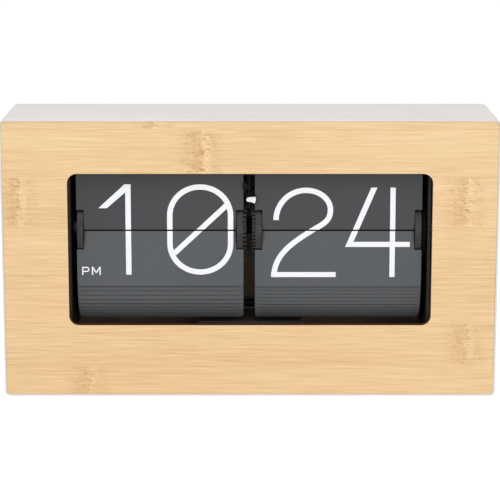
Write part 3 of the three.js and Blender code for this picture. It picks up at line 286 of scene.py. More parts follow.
def bamboo(name):
    """Laminated bamboo: strips with their own tone and grain, growth nodes and thin glue lines."""
    n = Nodes(name, 0.5, coat=0.12)
    n.shader.inputs["Coat Roughness"].default_value = 0.35
    split = n.node("ShaderNodeSeparateXYZ")
    n.feed(split.inputs[0], n.place)
    x, z = split.outputs["X"], split.outputs["Z"]
    starts = (0.0,) + tuple(s / CASE_H for s in BAMBOO_STRIPS)
    strip = n.ramp(n.math("DIVIDE", z, CASE_H * MM), grey_stops(zip(starts, STRIP_TONES)), "CONSTANT")
    # Each strip has its own grain: the strip's tone shifts the pattern sideways
    shift = n.node("ShaderNodeCombineXYZ")
    n.feed(shift.inputs["X"], n.math("MULTIPLY", strip, STRIP_SHIFT))
    moved = n.node("ShaderNodeVectorMath", operation="ADD")
    n.feed(moved.inputs[0], n.place)
    n.feed(moved.inputs[1], shift.outputs[0])

    def grain(scale, detail, rough):
        return n.noise(scale, detail, rough, moved.outputs[0])

    fine = grain((40, 160, 1500), 5, 0.62)
    fibre = grain((22, 70, 560), 4, 0.62)
    streak = grain((26, 160, 820), 2, 0.5)
    broad = grain((4, 20, 60), 3, 0.5)
    warm = grain((6, 12, 16), 2, 0.5)
    value = n.math("ADD", n.math("MULTIPLY", fine, 0.30), n.math("MULTIPLY", fibre, 0.42))
    value = n.math("ADD", value, n.math("MULTIPLY", broad, 0.28))
    value = n.math("ADD", value, n.math("MULTIPLY", n.math("SUBTRACT", strip, 0.5), 0.10))
    base = n.ramp(value, [
        (0.30, linear(210, 165, 112)), (0.42, linear(228, 190, 140)), (0.50, linear(236, 201, 153)),
        (0.58, linear(240, 208, 161)), (0.72, linear(249, 223, 180))])
    redder = n.mix(1.0, base, linear(255, 236, 224), "MULTIPLY")
    base = n.mix(n.between(warm, 0.42, 0.66, 0.0, 0.34), base, redder)
    greener = n.mix(1.0, base, linear(252, 250, 232), "MULTIPLY")
    base = n.mix(n.between(warm, 0.56, 0.36, 0.0, 0.32), base, greener)
    base = n.mix(n.between(streak, 0.60, 0.72, 0.0, 0.55), base, linear(224, 184, 130))
    base = n.mix(n.between(streak, 0.41, 0.29, 0.0, 0.55), base, linear(250, 222, 176))
    # Growth nodes: a dark band left of a ragged scar, light fibres right of it
    ragged = n.math("MULTIPLY", n.math("SUBTRACT", n.noise((70, 60, 620), 5, 0.7), 0.5), NODE_RAGGED)
    patchy = n.between(n.noise((150, 60, 420), 3, 0.6), 0.34, 0.62, 0.25, 1.0)
    specks = n.noise((420, 200, 760), 3, 0.65)
    for place, low, high, strength in BAMBOO_NODES:
        off = n.math("ADD", n.math("SUBTRACT", x, place * MM), ragged)
        across = n.between(off, NODE_LEFT, NODE_RIGHT)
        along = n.math("MULTIPLY", n.between(z, low * MM, (low + NODE_FADE) * MM, smooth=True),
                       n.between(z, high * MM, (high - NODE_FADE) * MM, smooth=True))
        profile = n.ramp(across, grey_stops(NODE_BAND))
        band = n.math("MULTIPLY", profile, n.math("MULTIPLY", along, patchy))
        base = n.mix(n.math("MULTIPLY", band, strength * BAND_SHARE), base, linear(200, 147, 86))
        lines = n.ramp(across, grey_stops(NODE_FIBRES))
        bright = n.math("MULTIPLY", n.between(fine, 0.46, 0.60), n.math("MULTIPLY", lines, along))
        base = n.mix(n.math("MULTIPLY", bright, strength * FIBRE_SHARE), base, linear(252, 226, 176))
        dots = n.ramp(across, grey_stops(NODE_SPECKS))
        dark = n.math("MULTIPLY", n.between(specks, 0.54, 0.64), n.math("MULTIPLY", dots, along))
        base = n.mix(n.math("MULTIPLY", dark, strength * SPECK_SHARE), base, linear(166, 112, 62))
    # Thin glue lines between the strips
    for edge in BAMBOO_STRIPS:
        near = n.math("ABSOLUTE", n.math("SUBTRACT", z, edge * MM))
        base = n.mix(n.between(near, GLUE_HALF, 0.0, 0.0, 0.28), base, linear(196, 148, 92))
    return n.finish(base, n.between(fibre, 0.3, 0.7, 0.42, 0.58), value, 0.10, 0.0002)


def brushed(name, light, dark, roughness):
    """Metal with fine lines along X."""
    return grained(name, light, dark, roughness, 0.09, 60.0, 0.08, 1.0, stretch=(1, 60, 60))


PAINT = grained("case_paint", linear(232, 227, 224), linear(222, 217, 213), 0.5, 0.05, 2600.0, 0.10)
BAMBOO = bamboo("bamboo_face")
BAMBOO_EDGE = grained("bamboo_scorched_edge", linear(98, 58, 30), linear(52, 28, 14), 0.6, 0.05, 500.0, 0.2,
                      stretch=(1, 6, 1))
# One leaf plastic in two copies: the lower leaves get the lighter one, painted light, and the upper leaves the
# darker one, painted shade
LEAF = leaf("leaf_plastic", linear(83, 86, 89), linear(78, 81, 84))
LEAF_PAINTED_SHADE = leaf("leaf_plastic_painted_shade", linear(60, 62, 65), linear(55, 57, 59))
PRINT = grained("white_print", linear(252, 253, 255), linear(244, 247, 251), 0.5, 0.04, 1500.0, 0.03)
BLACK = grained("black_plastic", linear(42, 41, 41), linear(29, 28, 28), 0.42, 0.07, 1600.0, 0.10, specular=0.35)
COVER = grained("cover_plastic", linear(40, 40, 41), linear(29, 29, 30), 0.55, 0.06, 1100.0, 0.35)
FRAME = grained("frame_paint", linear(40, 36, 32), linear(31, 28, 25), 0.5, 0.06, 1300.0, 0.10, specular=0.2)
# Black plastic made darker as painted shade for the parts in and beside the gap between the drums; on the minute
# gear it also covers the gear's own lighter colour
SHADED_DARK = grained("dark_plastic_painted_shade", linear(24, 23, 22), linear(17, 16, 16), 0.75, 0.06, 1300.0, 0.10, specular=0.1)
BOX = grained("grey_plastic", linear(134, 122, 112), linear(112, 101, 92), 0.6, 0.06, 1100.0, 0.10, specular=0.2)
BOARD = grained("pressed_board", linear(186, 160, 138), linear(158, 134, 113), 0.7, 0.05, 420.0, 0.3)
STEEL = brushed("zinc_steel", linear(205, 207, 210), linear(160, 163, 168), 0.34)
NYLON = grained("natural_nylon", linear(244, 243, 238), linear(230, 228, 221), 0.42, 0.06, 900.0, 0.06)
BRASS = brushed("turned_brass", linear(222, 184, 112), linear(182, 140, 72), 0.32)
# Brass darkened as painted shade on the output pinion, which lies in the shade inside the case
SHADED_BRASS = brushed("brass_painted_shade", linear(70, 58, 38), linear(44, 36, 24), 0.45)
SLEEVE = grained("cell_sleeve", linear(64, 92, 158), linear(48, 72, 132), 0.32, 0.06, 700.0, 0.04, coat=0.4)
PVC_RED = grained("lead_red_pvc", linear(196, 44, 36), linear(166, 30, 24), 0.42, 0.05, 1500.0, 0.05)
PVC_BLACK = grained("lead_black_pvc", linear(36, 36, 37), linear(26, 26, 27), 0.42, 0.05, 1500.0, 0.05)

SLOTS = {
    "case": PAINT, "bamboo": BAMBOO, "black_plastic": BLACK, "frame": FRAME, "steel": STEEL, "nylon": NYLON,
    "brass": BRASS, "leaf": LEAF, "cell": SLEEVE, "lead_red": PVC_RED, "lead_black": PVC_BLACK,
}
slot_of = {s["node"]: s["material_slot"] for s in frame["record"]["subparts"]}
for name, piece in frame["nodes"].items():
    piece.data.materials.clear()
    piece.data.materials.append(SLOTS[slot_of[name]])


# Pieces of the solids whose look differs from their slot's. The darker upper leaves, the very dark plastic and the
# darkened brass are painted shade.
WEARS = (
    (LEAF_PAINTED_SHADE, ("minute_flap", "hour_flap", "minute_upper_leaves", "hour_upper_leaves")),
    (COVER, ("battery_door",)), (BOX, ("battery_box",)),
    (SHADED_DARK, ("centre_bracket", "hour_finger", "axle_spacer", "minute_gear", "setting_gear")),
    (SHADED_BRASS, ("output_pinion",)),
)
for material, nodes in WEARS:
    for node in nodes:
        frame["nodes"][node].data.materials[0] = material


# Shapes
def add(name, mesh, material, body):
    """Makes a visible piece. Faces that the mesh marks as flat stay flat."""
    piece = bpy.data.objects.new(name, mesh)
    bpy.context.scene.collection.objects.link(piece)
    mesh.materials.clear()
    mesh.materials.append(material)
    flat = [not face.use_smooth for face in mesh.polygons]
    mesh.set_sharp_from_angle(angle=math.radians(SHARP_DEGREES))
    for face, stays_flat in zip(mesh.polygons, flat):
        face.use_smooth = not stays_flat
    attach(piece, body)
    return piece


def rounded_rect(w, h, r, x, z, steps=12):
    points = []
    for i, (cx, cz) in enumerate(((1, -1), (1, 1), (-1, 1), (-1, -1))):
        for k in range(steps + 1):
            a = math.radians(-90 + 90 * i + 90 * k / steps)
            points.append((x + cx * (w / 2 - r) + r * math.cos(a), z + cz * (h / 2 - r) + r * math.sin(a)))
    return points


def ring(x, z, r, steps=32):
    angles = [2 * math.pi * i / steps for i in range(steps)]
    return [(x + r * math.cos(a), z + r * math.sin(a)) for a in angles]


def arc(cx, cz, rx, rz, start, end, steps=24):
    angles = [math.radians(start + (end - start) * i / steps) for i in range(steps + 1)]
    return [(cx + rx * math.cos(a), cz + rz * math.sin(a)) for a in angles]


def bend(p0, p1, p2, p3, steps=18):
    """A smooth curve from p0 to p3, drawn towards p1 and p2. Its first point is left out."""
    points = []
    for i in range(1, steps + 1):
        t = i / steps
        weights = ((1 - t) ** 3, 3 * t * (1 - t) ** 2, 3 * t * t * (1 - t), t ** 3)
        points.append(tuple(sum(w * p[k] for w, p in zip(weights, (p0, p1, p2, p3))) for k in (0, 1)))
    return points


def flat_shape(loops, thickness=0.0, bevel=0.0):
    """Closed outlines in X and Z, millimetres, filled. Outlines inside others are holes."""
    curve = bpy.data.curves.new("outline", "CURVE")
    curve.dimensions, curve.fill_mode = "2D", "BOTH"
    for loop in loops:
        spline = curve.splines.new("POLY")
        spline.points.add(len(loop) - 1)
        for point, (x, z) in zip(spline.points, loop):
            point.co = (x * MM, z * MM, 0, 1)
        spline.use_cyclic_u = True
    curve.extrude = max(0.0, thickness / 2 - bevel) * MM
    curve.bevel_depth, curve.bevel_resolution = bevel * MM, 3
    made = bpy.data.objects.new("outline", curve)
    bpy.context.scene.collection.objects.link(made)
    graph = bpy.context.evaluated_depsgraph_get()
    mesh = bpy.data.meshes.new_from_object(made.evaluated_get(graph))
    bpy.data.objects.remove(made)
    bpy.data.curves.remove(curve)
    mesh.transform(Matrix.Rotation(math.radians(90), 4, "X"))
    return mesh


def clean(mesh):
    bm = bmesh.new()
    bm.from_mesh(mesh)
    bmesh.ops.remove_doubles(bm, verts=bm.verts, dist=MERGE_DISTANCE)
    bmesh.ops.recalc_face_normals(bm, faces=bm.faces)
    bm.to_mesh(mesh)
    bm.free()
    return mesh


def sheet(loops, y0, y1, bevel):
    """A plate between y0 and y1 with rounded edges. The loops are drawn a bevel inside the material."""
    mesh = clean(flat_shape(loops, y1 - y0, bevel))
    for face in mesh.polygons:
        face.use_smooth = abs(face.normal.y) < FLAT_NORMAL
    mesh.transform(Matrix.Translation((0, (y0 + y1) / 2 * MM, 0)))
    return mesh


def merged(*meshes):
    bm = bmesh.new()
    for mesh in meshes:
        bm.from_mesh(mesh)
    whole = bpy.data.meshes.new("merged")
    bm.to_mesh(whole)
    bm.free()
    return whole


def block(x0, x1, y0, y1, z0, z1, bevel):
    bm = bmesh.new()
    bmesh.ops.create_cube(bm, size=1.0)
    for v in bm.verts:
        v.co = Vector(((x0 + x1) / 2 + v.co.x * (x1 - x0), (y0 + y1) / 2 + v.co.y * (y1 - y0),
                       (z0 + z1) / 2 + v.co.z * (z1 - z0))) * MM
    bmesh.ops.bevel(bm, geom=bm.edges[:], offset=bevel * MM, segments=2, affect="EDGES", profile=0.5)
    for face in bm.faces:
        face.smooth = max(abs(c) for c in face.normal) < FLAT_NORMAL
    mesh = bpy.data.meshes.new("block")
    bm.to_mesh(mesh)
    bm.free()
    return mesh


# Case sleeve with its ledge and lugs
def case_piece():
    def inside(more, radius):
        return rounded_rect(INNER_W + 2 * more, INNER_H + 2 * more, radius, 0, MIDDLE_Z)

    outside = rounded_rect(CASE_W - 2 * EDGE, CASE_H - 2 * EDGE, CASE_RADIUS - EDGE, 0, MIDDLE_Z)
    sleeve = sheet([outside, inside(EDGE, INNER_RADIUS + EDGE)], FRONT_Y, CASE_D / 2, EDGE)
    y = FRONT_Y + PANEL_T + GAP
    ledge = sheet([inside(LEDGE_INTO_WALL, INNER_RADIUS), inside(-LEDGE_W, INNER_RADIUS)],
                  y, y + CASE_WALL, LEDGE_EDGE)
    lugs = []
    back = COVER_BACK_Y - COVER_T - GAP
    half_w, half_h = INNER_W / 2, INNER_H / 2
    for sx in (-1, 1):
        for sz in (-1, 1):
            x0, x1 = sorted((sx * (half_w + LUG_INTO_WALL), sx * (half_w - LUG_W)))
            z0, z1 = sorted((MIDDLE_Z + sz * (half_h + LUG_INTO_WALL), MIDDLE_Z + sz * (half_h - LUG_W)))
            lugs.append(block(x0, x1, back - LUG_DEPTH, back, z0, z1, EDGE))
    return merged(sleeve, ledge, *lugs)


case = add("case_sleeve", case_piece(), PAINT, "case")
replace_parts(case, "case_shell")


# Bamboo front
def fitted(gap):
    """The outline of a plate that lies in the sleeve with a gap round it."""
    return rounded_rect(INNER_W - 2 * gap - 2 * EDGE, INNER_H - 2 * gap - 2 * EDGE, INNER_RADIUS - gap, 0, MIDDLE_Z)


def front_piece():
    window = rounded_rect(WINDOW_W + 2 * EDGE, WINDOW_H + 2 * EDGE, WINDOW_RADIUS + EDGE, 0,
                          WINDOW_BOTTOM + WINDOW_H / 2)
    return sheet([fitted(FRONT_GAP), window], FRONT_Y, FRONT_Y + PANEL_T, EDGE)


def in_window(face):
    """Is this face on the sawn edge of the window?"""
    reach, steep = EDGE + 0.05, 0.75
    wide = abs(face.center.x) < (WINDOW_W / 2 + reach) * MM
    tall = (WINDOW_BOTTOM - reach) * MM < face.center.z < (WINDOW_BOTTOM + WINDOW_H + reach) * MM
    return wide and tall and abs(face.normal.y) < steep


front = add("bamboo_front", front_piece(), BAMBOO, "case")
front.data.materials.append(BAMBOO_EDGE)
for face in front.data.polygons:
    if in_window(face):
        face.material_index = 1
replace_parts(front, "front_panel")


# Rear cover
def rear_piece():
    loops = [fitted(GAP)]
    for x0, x1, z0, z1 in (BATTERY_HOLE, THUMB_SLOT):
        wide, tall = x1 - x0 + 2 * EDGE, z1 - z0 + 2 * EDGE
        loops.append(rounded_rect(wide, tall, HOLE_RADIUS, (x0 + x1) / 2, (z0 + z1) / 2, 6))
    for x in (-KEYHOLE_X, KEYHOLE_X):
        half, r = KEYHOLE_SLOT_W / 2 + EDGE, KEYHOLE_R + EDGE
        start = math.degrees(math.acos(half / r))
        slot_end = KEYHOLE_Z + KEYHOLE_SLOT_L - KEYHOLE_SLOT_W / 2
        loops.append(arc(x, KEYHOLE_Z, r, r, 180 - start, 360 + start, 40)
                     + arc(x, slot_end, half, half, 0, 180, 16))
    for x, z in SCREW_PLACES:
        loops.append(ring(x, z, SCREW_HOLE_R + EDGE))
    return sheet(loops, COVER_BACK_Y - COVER_T, COVER_BACK_Y, EDGE)


cover = add("rear_cover_sheet", rear_piece(), COVER, "case")
cover.data.materials.append(BOARD)
# Its inner face is pressed board
for face in cover.data.polygons:
    if face.normal.y < -0.9:
        face.material_index = 1
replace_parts(cover, "rear_cover")


# Rear screws: turned pan heads with a cross recess
def turned(profile, sides=40):
    """A turned shape about the Y axis from pairs of radius and Y, from its tip to its head."""
    bm = bmesh.new()
    rings = []
    for r, y in profile:
        rings.append([bm.verts.new((x * MM, y * MM, z * MM)) for x, z in ring(0.0, 0.0, r, sides)])
    for low, high in zip(rings, rings[1:]):
        for i in range(sides):
            bm.faces.new((low[i], low[i - 1], high[i - 1], high[i]))
    bm.faces.new(rings[0])
    bm.faces.new(rings[-1])
    bmesh.ops.recalc_face_normals(bm, faces=bm.faces)
    for face in bm.faces:
        face.smooth = abs(face.normal.y) < FLAT_NORMAL
    mesh = bpy.data.meshes.new("turned")
    bm.to_mesh(mesh)
    bm.free()
    return mesh


def cut_out(mesh, cutter):
    """The first mesh with the second one taken away."""
    whole, tool = bpy.data.objects.new("whole", mesh), bpy.data.objects.new("tool", cutter)
    for piece in (whole, tool):
        bpy.context.scene.collection.objects.link(piece)
    change = whole.modifiers.new("cut", "BOOLEAN")
    change.operation, change.object = "DIFFERENCE", tool
    made = bpy.data.meshes.new_from_object(whole.evaluated_get(bpy.context.evaluated_depsgraph_get()))
    for piece in (whole, tool):
        bpy.data.objects.remove(piece)
    return made


for i, (x, z) in enumerate(SCREW_PLACES):
    screw = turned(SCREW_PROFILE)
    for half_x, half_z in ((RECESS_L, RECESS_W), (RECESS_W, RECESS_L)):
        recess = block(-half_x, half_x, RECESS_FLOOR, RECESS_TOP, -half_z, half_z, RECESS_EDGE)
        screw = cut_out(screw, recess)
    screw.transform(Matrix.Rotation(math.radians(SCREW_TURN + SCREW_TURN_STEP * i), 4, "Y"))
    screw.transform(Matrix.Translation((x * MM, (COVER_BACK_Y + GAP) * MM, z * MM)))
    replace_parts(add(f"rear_pan_screw_{i + 1}", screw, STEEL, "case"), f"rear_screw_{i + 1}")


# Leaves
def leaf_sheet(foot):
    """A leaf at the origin, standing up from its hinge line and reaching a little below it."""
    edge = LEAF_EDGE
    half, r = LEAF_W / 2 - edge, LEAF_RADIUS - edge
    top, low, notch, inner = LEAF_L - edge, -foot + edge, NOTCH_L + edge, LEAF_W / 2 - NOTCH_W - edge
    loop = [(-half, notch), (-inner, notch), (-inner, low), (inner, low), (inner, notch), (half, notch)]
    loop += arc(half - r, top - r, r, r, 0, 90, 8) + arc(r - half, top - r, r, r, 90, 180, 8)
    return sheet([loop], -LEAF_T / 2, LEAF_T / 2, edge)


def rod(x0, x1, r, sides=20):
    """A rod along X with rounded rims."""
    bm = bmesh.new()
    bmesh.ops.create_cone(bm, cap_ends=True, segments=sides, radius1=r * MM, radius2=r * MM, depth=(x1 - x0) * MM)
    bmesh.ops.rotate(bm, verts=bm.verts, matrix=Matrix.Rotation(math.radians(90), 3, "Y"))
    bmesh.ops.translate(bm, verts=bm.verts, vec=((x0 + x1) / 2 * MM, 0, 0))
    rims = [e for e in bm.edges if abs(e.verts[0].co.x - e.verts[1].co.x) < PLANE_DISTANCE]
    bmesh.ops.bevel(bm, geom=rims, offset=0.12 * r * MM, segments=2, affect="EDGES")
    for face in bm.faces:
        face.smooth = abs(face.normal.x) < FLAT_NORMAL
    mesh = bpy.data.meshes.new("rod")
    bm.to_mesh(mesh)
    bm.free()
    return mesh


def leaf_pins():
    """The two short pins on which a leaf turns, in its notches."""
    root = LEAF_W / 2 - NOTCH_W
    return rod(-root - PIN_OUT, -root + PIN_IN, PIN_R), rod(root - PIN_IN, root + PIN_OUT, PIN_R)


def placed(mesh, x, y, z, lean):
    """Leans a leaf back from upright by some degrees and puts its hinge line in place."""
    turn = Matrix.Rotation(math.radians(-lean), 4, "X")
    mesh.transform(Matrix.Translation((x * MM, y * MM, z * MM)) @ turn)
    return mesh


def pin(degrees):
    """Y and Z of the pin at some degrees above the front of a drum."""
    angle = math.radians(degrees)
    return DRUM_Y - PIN_CIRCLE_R * math.cos(angle), DRUM_Z + PIN_CIRCLE_R * math.sin(angle)


def fallen_leaves(mid, count, first):
    """The stack of fallen leaves of a drum. The front one hangs straight and ends close under the next leaf."""
    pitch = 360 / count
    # All leaves but the next one and those that stand behind it
    number = count - 2 - int((REAR_LAST - first - 2 * pitch) // pitch)
    front_y, front_z = pin(first)
    front = merged(leaf_sheet(HINGE_Z - LEAF_FOOT - LEAF_SPLIT - front_z), *leaf_pins())
    parts = [placed(front, mid, front_y - FRONT_LEAF_OUT, front_z, 180)]
    for i in range(1, number):
        y, z = pin(first - i * pitch)
        z -= min(i, MOST_DROPS) * LEAF_DROP
        tip = min(DRUM_Y - y, DRUM_Y - front_y - i * TIP_FAN)
        lean = 180 - math.degrees(math.asin((DRUM_Y - y - tip) / LEAF_L))
        parts.append(placed(merged(leaf_sheet(FALLEN_FOOT), *leaf_pins()), mid, y, z, lean))
    return merged(*parts)


def leaf_piece(name, mesh, material, body, node):
    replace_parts(add(name, mesh, material, body), node)


for side, mid, count, first in (("minute", MINUTE_MID, MINUTE_LEAVES, MINUTE_FIRST),
                                ("hour", HOUR_MID, HOUR_LEAVES, HOUR_FIRST)):
    stack = fallen_leaves(mid, count, first)
    leaf_piece(f"{side}_leaf_stack", stack, LEAF, "case", f"{side}_lower_leaves")
    standing = placed(merged(leaf_sheet(LEAF_FOOT), *leaf_pins()), mid, HINGE_Y, HINGE_Z, FLAP_LEAN)
    leaf_piece(f"{side}_standing_leaf", standing, LEAF_PAINTED_SHADE, f"{side}_flap_body", f"{side}_flap")


# Finger that holds the minute leaf up
def finger_piece():
    """A rounded tail to the left and a hooked tip to the right, which lies before the leaf's edge."""
    mid = FINGER_Z
    loop = [(3.1, mid + 1.9)]
    loop += bend(loop[-1], (3.6, mid + 2.0), (4.05, mid + 1.6), (4.0, mid + 0.8), 6)
    loop += bend(loop[-1], (3.95, mid - 0.3), (3.6, mid - 1.4), (3.2, mid - 2.3), 6)
    loop += bend(loop[-1], (2.6, mid - 1.9), (1.9, mid - 1.5), (0.8, mid - 1.3), 6)
    loop += bend(loop[-1], (-0.5, mid - 1.2), (-1.6, mid - 1.1), (-2.0, mid - 0.7), 6)
    loop += bend(loop[-1], (-2.6, mid - 0.1), (-2.4, mid + 1.0), (-1.5, mid + 1.5), 8)
    loop += bend(loop[-1], (-0.4, mid + 1.9), (1.5, mid + 1.6), (2.2, mid + 1.7), 6)
    back = HINGE_Y - LEAF_T / 2 - FINGER_BEFORE_LEAF
    return sheet([loop], back - FINGER_T, back, FINGER_EDGE)


finger = add("finger_moulded", finger_piece(), NYLON, "case")
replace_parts(finger, "minute_finger")


# Printed figures: closed outlines in X and Z, millimetres, from a figure's middle and its two ends
def offset_line(points, width):
    """The closed outline of a line of some width along the points."""
    left, right = [], []
    for i, (x, z) in enumerate(points):
        x0, z0 = points[max(0, i - 1)]
        x1, z1 = points[min(len(points) - 1, i + 1)]
        dx, dz = x1 - x0, z1 - z0
        size = math.hypot(dx, dz)
        nx, nz = -dz / size * width / 2, dx / size * width / 2
        left.append((x + nx, z + nz))
        right.append((x - nx, z - nz))
    return left + right[::-1]


def bar(x0, x1, z0, z1):
    return [(x0, z0), (x1, z0), (x1, z1), (x0, z1)]


def figure_one(x, low, high):
    flag = [(x - 21.6, high - 17.6), (x - 15.4, high - 17.6), (x - 1.6, high - 5.6), (x - 1.6, high),
            (x - 2.4, high)]
    return [[bar(x - STROKE / 2, x + STROKE / 2, low, high)], [flag]]


def figure_zero(x, low, high):
    half, bow = 24.06, 23.0

    def loop(inset):
        top = arc(x, high - bow, half - inset, bow - inset, 0, 180)
        return top + arc(x, low + bow, half - inset, bow - inset, 180, 360)

    slash = offset_line([(x - 18.9, low + 16.0), (x + 18.9, low + 51.4)], STROKE)
    return [[loop(0), loop(STROKE)], [slash]]


def figure_two(x, low, high):
    hook = arc(x, high - 23.9, 21.7, 21.9, 180, 90)
    brow = arc(x, high - 16.3, 17.8, 14.3, 90, 0)
    right, mid, foot = (x + 17.8, high - 16.3), (x + 3.9, low + 34.4), (x - 23.2, low)
    waist = bend(right, (right[0], right[1] - 9), (mid[0] + 8, mid[1] + 5.2), mid)
    tail = bend(mid, (mid[0] - 13, mid[1] - 8.4), (foot[0], foot[1] + 17), foot)
    line = hook + brow[1:] + waist + tail
    return [[offset_line(line, STROKE)], [bar(x - 25.2, x + 22, low, low + STROKE - 0.2)]]


def figure_four(x, low, high):
    corner, top, lean, half, thick = low + 22.5, x - 11.5, 0.4236, 2.2, 3.8
    base = top - (high - corner) * lean
    diagonal = [(top - half, high), (base - half, corner), (base + half, corner), (top + half, high)]
    left, right = base - half, x + 14.8
    cross = [(left, corner), (right, corner), (right, corner + thick), (left + thick * lean, corner + thick)]
    return [[diagonal], [cross], [bar(x + 0.2, x + 4.0, low, high)]]


def figure_five(x, low, high):
    bowl = [(x - 20, low + 38.5)]
    bowl += bend(bowl[0], (x - 12, low + 44), (x - 4, low + 45), (x, low + 45))
    bowl += arc(x, low + 23.4, 21.6, 21.5, 90, -90)[1:]
    bowl += bend((x, low + 1.95), (x - 10, low + 1.95), (x - 18, low + 6), (x - 21, low + 12))
    return [[offset_line(bowl, STROKE)], [bar(x - 21.5, x + 17, high - 3.8, high)],
            [bar(x - 21.9, x - 21.9 + STROKE, low + 36.5, high)]]


def letters_pm(x, low):
    high, pen, wide = low + 6.1, 0.95, 6.5
    bowl = [(x, high - pen / 2), (x + 3.4, high - pen / 2)]
    bowl += arc(x + 3.4, high - 1.95, 1.5, 1.48, 85, -85, 10)
    bowl += [(x + 3.4, high - 3.43), (x, high - 3.43)]
    m = x + 7.1
    dip = (m + wide / 2, low + 1.6)
    return [[bar(x, x + pen, low, high)], [offset_line(bowl, pen)],
            [bar(m, m + pen, low, high)], [bar(m + wide - pen, m + wide, low, high)],
            [offset_line([(m + 0.5, high - 0.1), dip], pen)],
            [offset_line([(m + wide - 0.5, high - 0.1), dip], pen)]]


def figures(drawn, low, high):
    return [shape for draw, x in drawn for shape in draw(x, low, high)]


def print_half(name, shapes, upper, carrier, body):
    """Lays the upper or lower half of some figures on a leaf. The carrier says where each point comes to lie."""
    bm = bmesh.new()
    for i, loops in enumerate(shapes):
        mesh = flat_shape(loops)
        part = bmesh.new()
        part.from_mesh(mesh)
        bmesh.ops.remove_doubles(part, verts=part.verts, dist=MERGE_DISTANCE)
        edge = (UPPER_PRINT_END if upper else LOWER_PRINT_END) * MM
        bmesh.ops.bisect_plane(part, geom=part.verts[:] + part.edges[:] + part.faces[:], dist=PLANE_DISTANCE,
                               plane_co=(0, 0, edge), plane_no=(0, 0, 1), clear_inner=upper, clear_outer=not upper)
        for v in part.verts:
            v.co.y = SHAPE_STEP * i
        temp = bpy.data.meshes.new("half")
        part.to_mesh(temp)
        part.free()
        bm.from_mesh(temp)
    for v in bm.verts:
        v.co = carrier(v.co.x, v.co.z, v.co.y)
    bmesh.ops.recalc_face_normals(bm, faces=bm.faces)
    bmesh.ops.delete(bm, geom=[f for f in bm.faces if f.calc_area() <= LEAST_AREA], context="FACES")
    mesh = bpy.data.meshes.new(name)
    bm.to_mesh(mesh)
    bm.free()
    add(name, mesh, PRINT, body)


def on_flap(x, rise, out):
    """A point on the next leaf, some way up from its hinge line and out from its middle."""
    lean = math.radians(FLAP_LEAN)
    y = HINGE_Y + rise * math.sin(lean) - out * math.cos(lean)
    return Vector((x, y * MM, (HINGE_Z + rise * math.cos(lean) + out * math.sin(lean)) * MM))


def on_flap_front(x, z, lift):
    return on_flap(x, z / MM - HINGE_Z, PRINT_OUT + lift / MM)


def on_flap_back(x, z, lift):
    """The back of the next leaf, which faces the front once it has fallen."""
    return on_flap(x, HINGE_Z - z / MM, -PRINT_OUT - lift / MM)


def on_lower_leaf(first):
    y0 = pin(first)[0] - FRONT_LEAF_OUT

    def place(x, z, lift):
        return Vector((x, (y0 - PRINT_OUT) * MM - lift, z))

    return place


def on_upper_leaf(degrees):
    y0, z0 = pin(degrees)
    lean = math.radians(UPPER_LEAN)

    def place(x, z, lift):
        rise, out = z / MM - HINGE_Z, PRINT_OUT + lift / MM
        y = y0 + rise * math.sin(lean) - out * math.cos(lean)
        return Vector((x, y * MM, (z0 + rise * math.cos(lean) + out * math.sin(lean)) * MM))

    return place


# The next hour leaf reads the same hour, since the hour drum has two leaves for each
hour = figures([(figure_one, ONE_X), (figure_zero, ZERO_X)], HOUR_LOW, HOUR_HIGH)
minute_now = figures([(figure_two, TWO_X), (figure_four, FOUR_X)], MINUTE_LOW, MINUTE_HIGH)
minute_next = figures([(figure_two, TWO_X), (figure_five, FIVE_X)], MINUTE_LOW, MINUTE_HIGH)
hour_and_mark = hour + letters_pm(MARK_X, MARK_Z)
behind_hour = on_upper_leaf(HOUR_FIRST + 2 * 360 / HOUR_LEAVES)
behind_minute = on_upper_leaf(MINUTE_FIRST + 2 * 360 / MINUTE_LEAVES)
print_half("hour_print_upper", hour, True, on_flap_front, "hour_flap_body")
print_half("hour_print_lower", hour_and_mark, False, on_lower_leaf(HOUR_FIRST), "case")
print_half("minute_print_upper", minute_now, True, on_flap_front, "minute_flap_body")
print_half("minute_print_lower", minute_now, False, on_lower_leaf(MINUTE_FIRST), "case")
print_half("hour_print_behind", hour, True, behind_hour, "case")
print_half("minute_print_behind", minute_next, True, behind_minute, "case")
print_half("hour_print_back", hour_and_mark, False, on_flap_back, "hour_flap_body")
print_half("minute_print_back", minute_next, False, on_flap_back, "minute_flap_body")


# Floor, light and camera
def floor_material():
    n = Nodes("studio_floor", 0.9)
    path = n.node("ShaderNodeLightPath")
    seen = n.math("MAXIMUM", path.outputs["Is Camera Ray"],
                  n.math("MAXIMUM", path.outputs["Is Glossy Ray"], path.outputs["Is Transmission Ray"]))
    tone = n.mix(n.noise((3, 3, 3), 2), linear(246, 246, 246), linear(250, 250, 250))
    n.finish(tone)
    n.shader.inputs["Emission Color"].default_value = (1, 1, 1, 1)
    n.feed(n.shader.inputs["Emission Strength"], n.math("MULTIPLY", seen, FLOOR_GLOW))
    return n.material


def floor():
    bm = bmesh.new()
    bmesh.ops.create_grid(bm, x_segments=8, y_segments=8, size=FLOOR_HALF)
    mesh = bpy.data.meshes.new("studio_floor")
    bm.to_mesh(mesh)
    bm.free()
    mesh.materials.append(floor_material())
    made = bpy.data.objects.new("studio_floor", mesh)
    bpy.context.scene.collection.objects.link(made)
    made.location = (0, 0, -FLOOR_DROP)


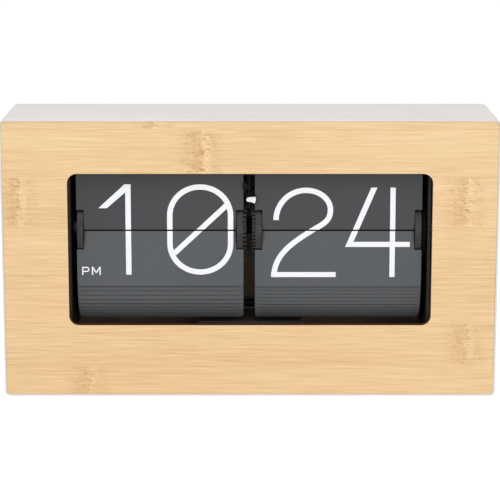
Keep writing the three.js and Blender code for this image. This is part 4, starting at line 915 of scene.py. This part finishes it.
def world():
    """Soft even light, and plain white where the camera, a reflection or a see-through ray looks."""
    made = bpy.data.worlds.new("studio")
    bpy.context.scene.world = made
    made.use_nodes = True
    tree = made.node_tree
    tree.nodes.clear()
    path = tree.nodes.new("ShaderNodeLightPath")
    every = path.outputs["Is Camera Ray"]
    for kind in ("Is Glossy Ray", "Is Transmission Ray"):
        larger = tree.nodes.new("ShaderNodeMath")
        larger.operation = "MAXIMUM"
        tree.links.new(every, larger.inputs[0])
        tree.links.new(path.outputs[kind], larger.inputs[1])
        every = larger.outputs[0]
    soft, seen = tree.nodes.new("ShaderNodeBackground"), tree.nodes.new("ShaderNodeBackground")
    for background, strength in ((soft, SOFT_STRENGTH), (seen, SEEN_STRENGTH)):
        background.inputs["Color"].default_value = (1, 1, 1, 1)
        background.inputs["Strength"].default_value = strength
    mix, out = tree.nodes.new("ShaderNodeMixShader"), tree.nodes.new("ShaderNodeOutputWorld")
    tree.links.new(every, mix.inputs[0])
    tree.links.new(soft.outputs[0], mix.inputs[1])
    tree.links.new(seen.outputs[0], mix.inputs[2])
    tree.links.new(mix.outputs[0], out.inputs[0])


def lamp(name, place, size, power):
    data = bpy.data.lights.new(name, "AREA")
    data.shape, data.size, data.energy = "SQUARE", size, power
    made = bpy.data.objects.new(name, data)
    bpy.context.scene.collection.objects.link(made)
    made.location = place
    made.rotation_euler = (Vector(LAMP_TARGET) - Vector(place)).to_track_quat("-Z", "Y").to_euler()


floor()
world()
for name, place, size, power in LAMPS:
    lamp(name, place, size, power)

camera = bpy.data.objects.new("camera", bpy.data.cameras.new("camera"))
bpy.context.scene.collection.objects.link(camera)
camera.location = CAMERA_PLACE
camera.rotation_euler = (math.radians(90 - CAMERA_PITCH), 0, 0)
camera.data.sensor_width = SENSOR_WIDTH
camera.data.lens = FOCAL_PIXELS * SENSOR_WIDTH / PICTURE_PIXELS
camera.data.shift_y = CAMERA_SHIFT
camera.data.clip_start, camera.data.clip_end = CLIP_NEAR, CLIP_FAR
bpy.context.scene.camera = camera
bpy.context.scene.view_settings.view_transform = "Standard"
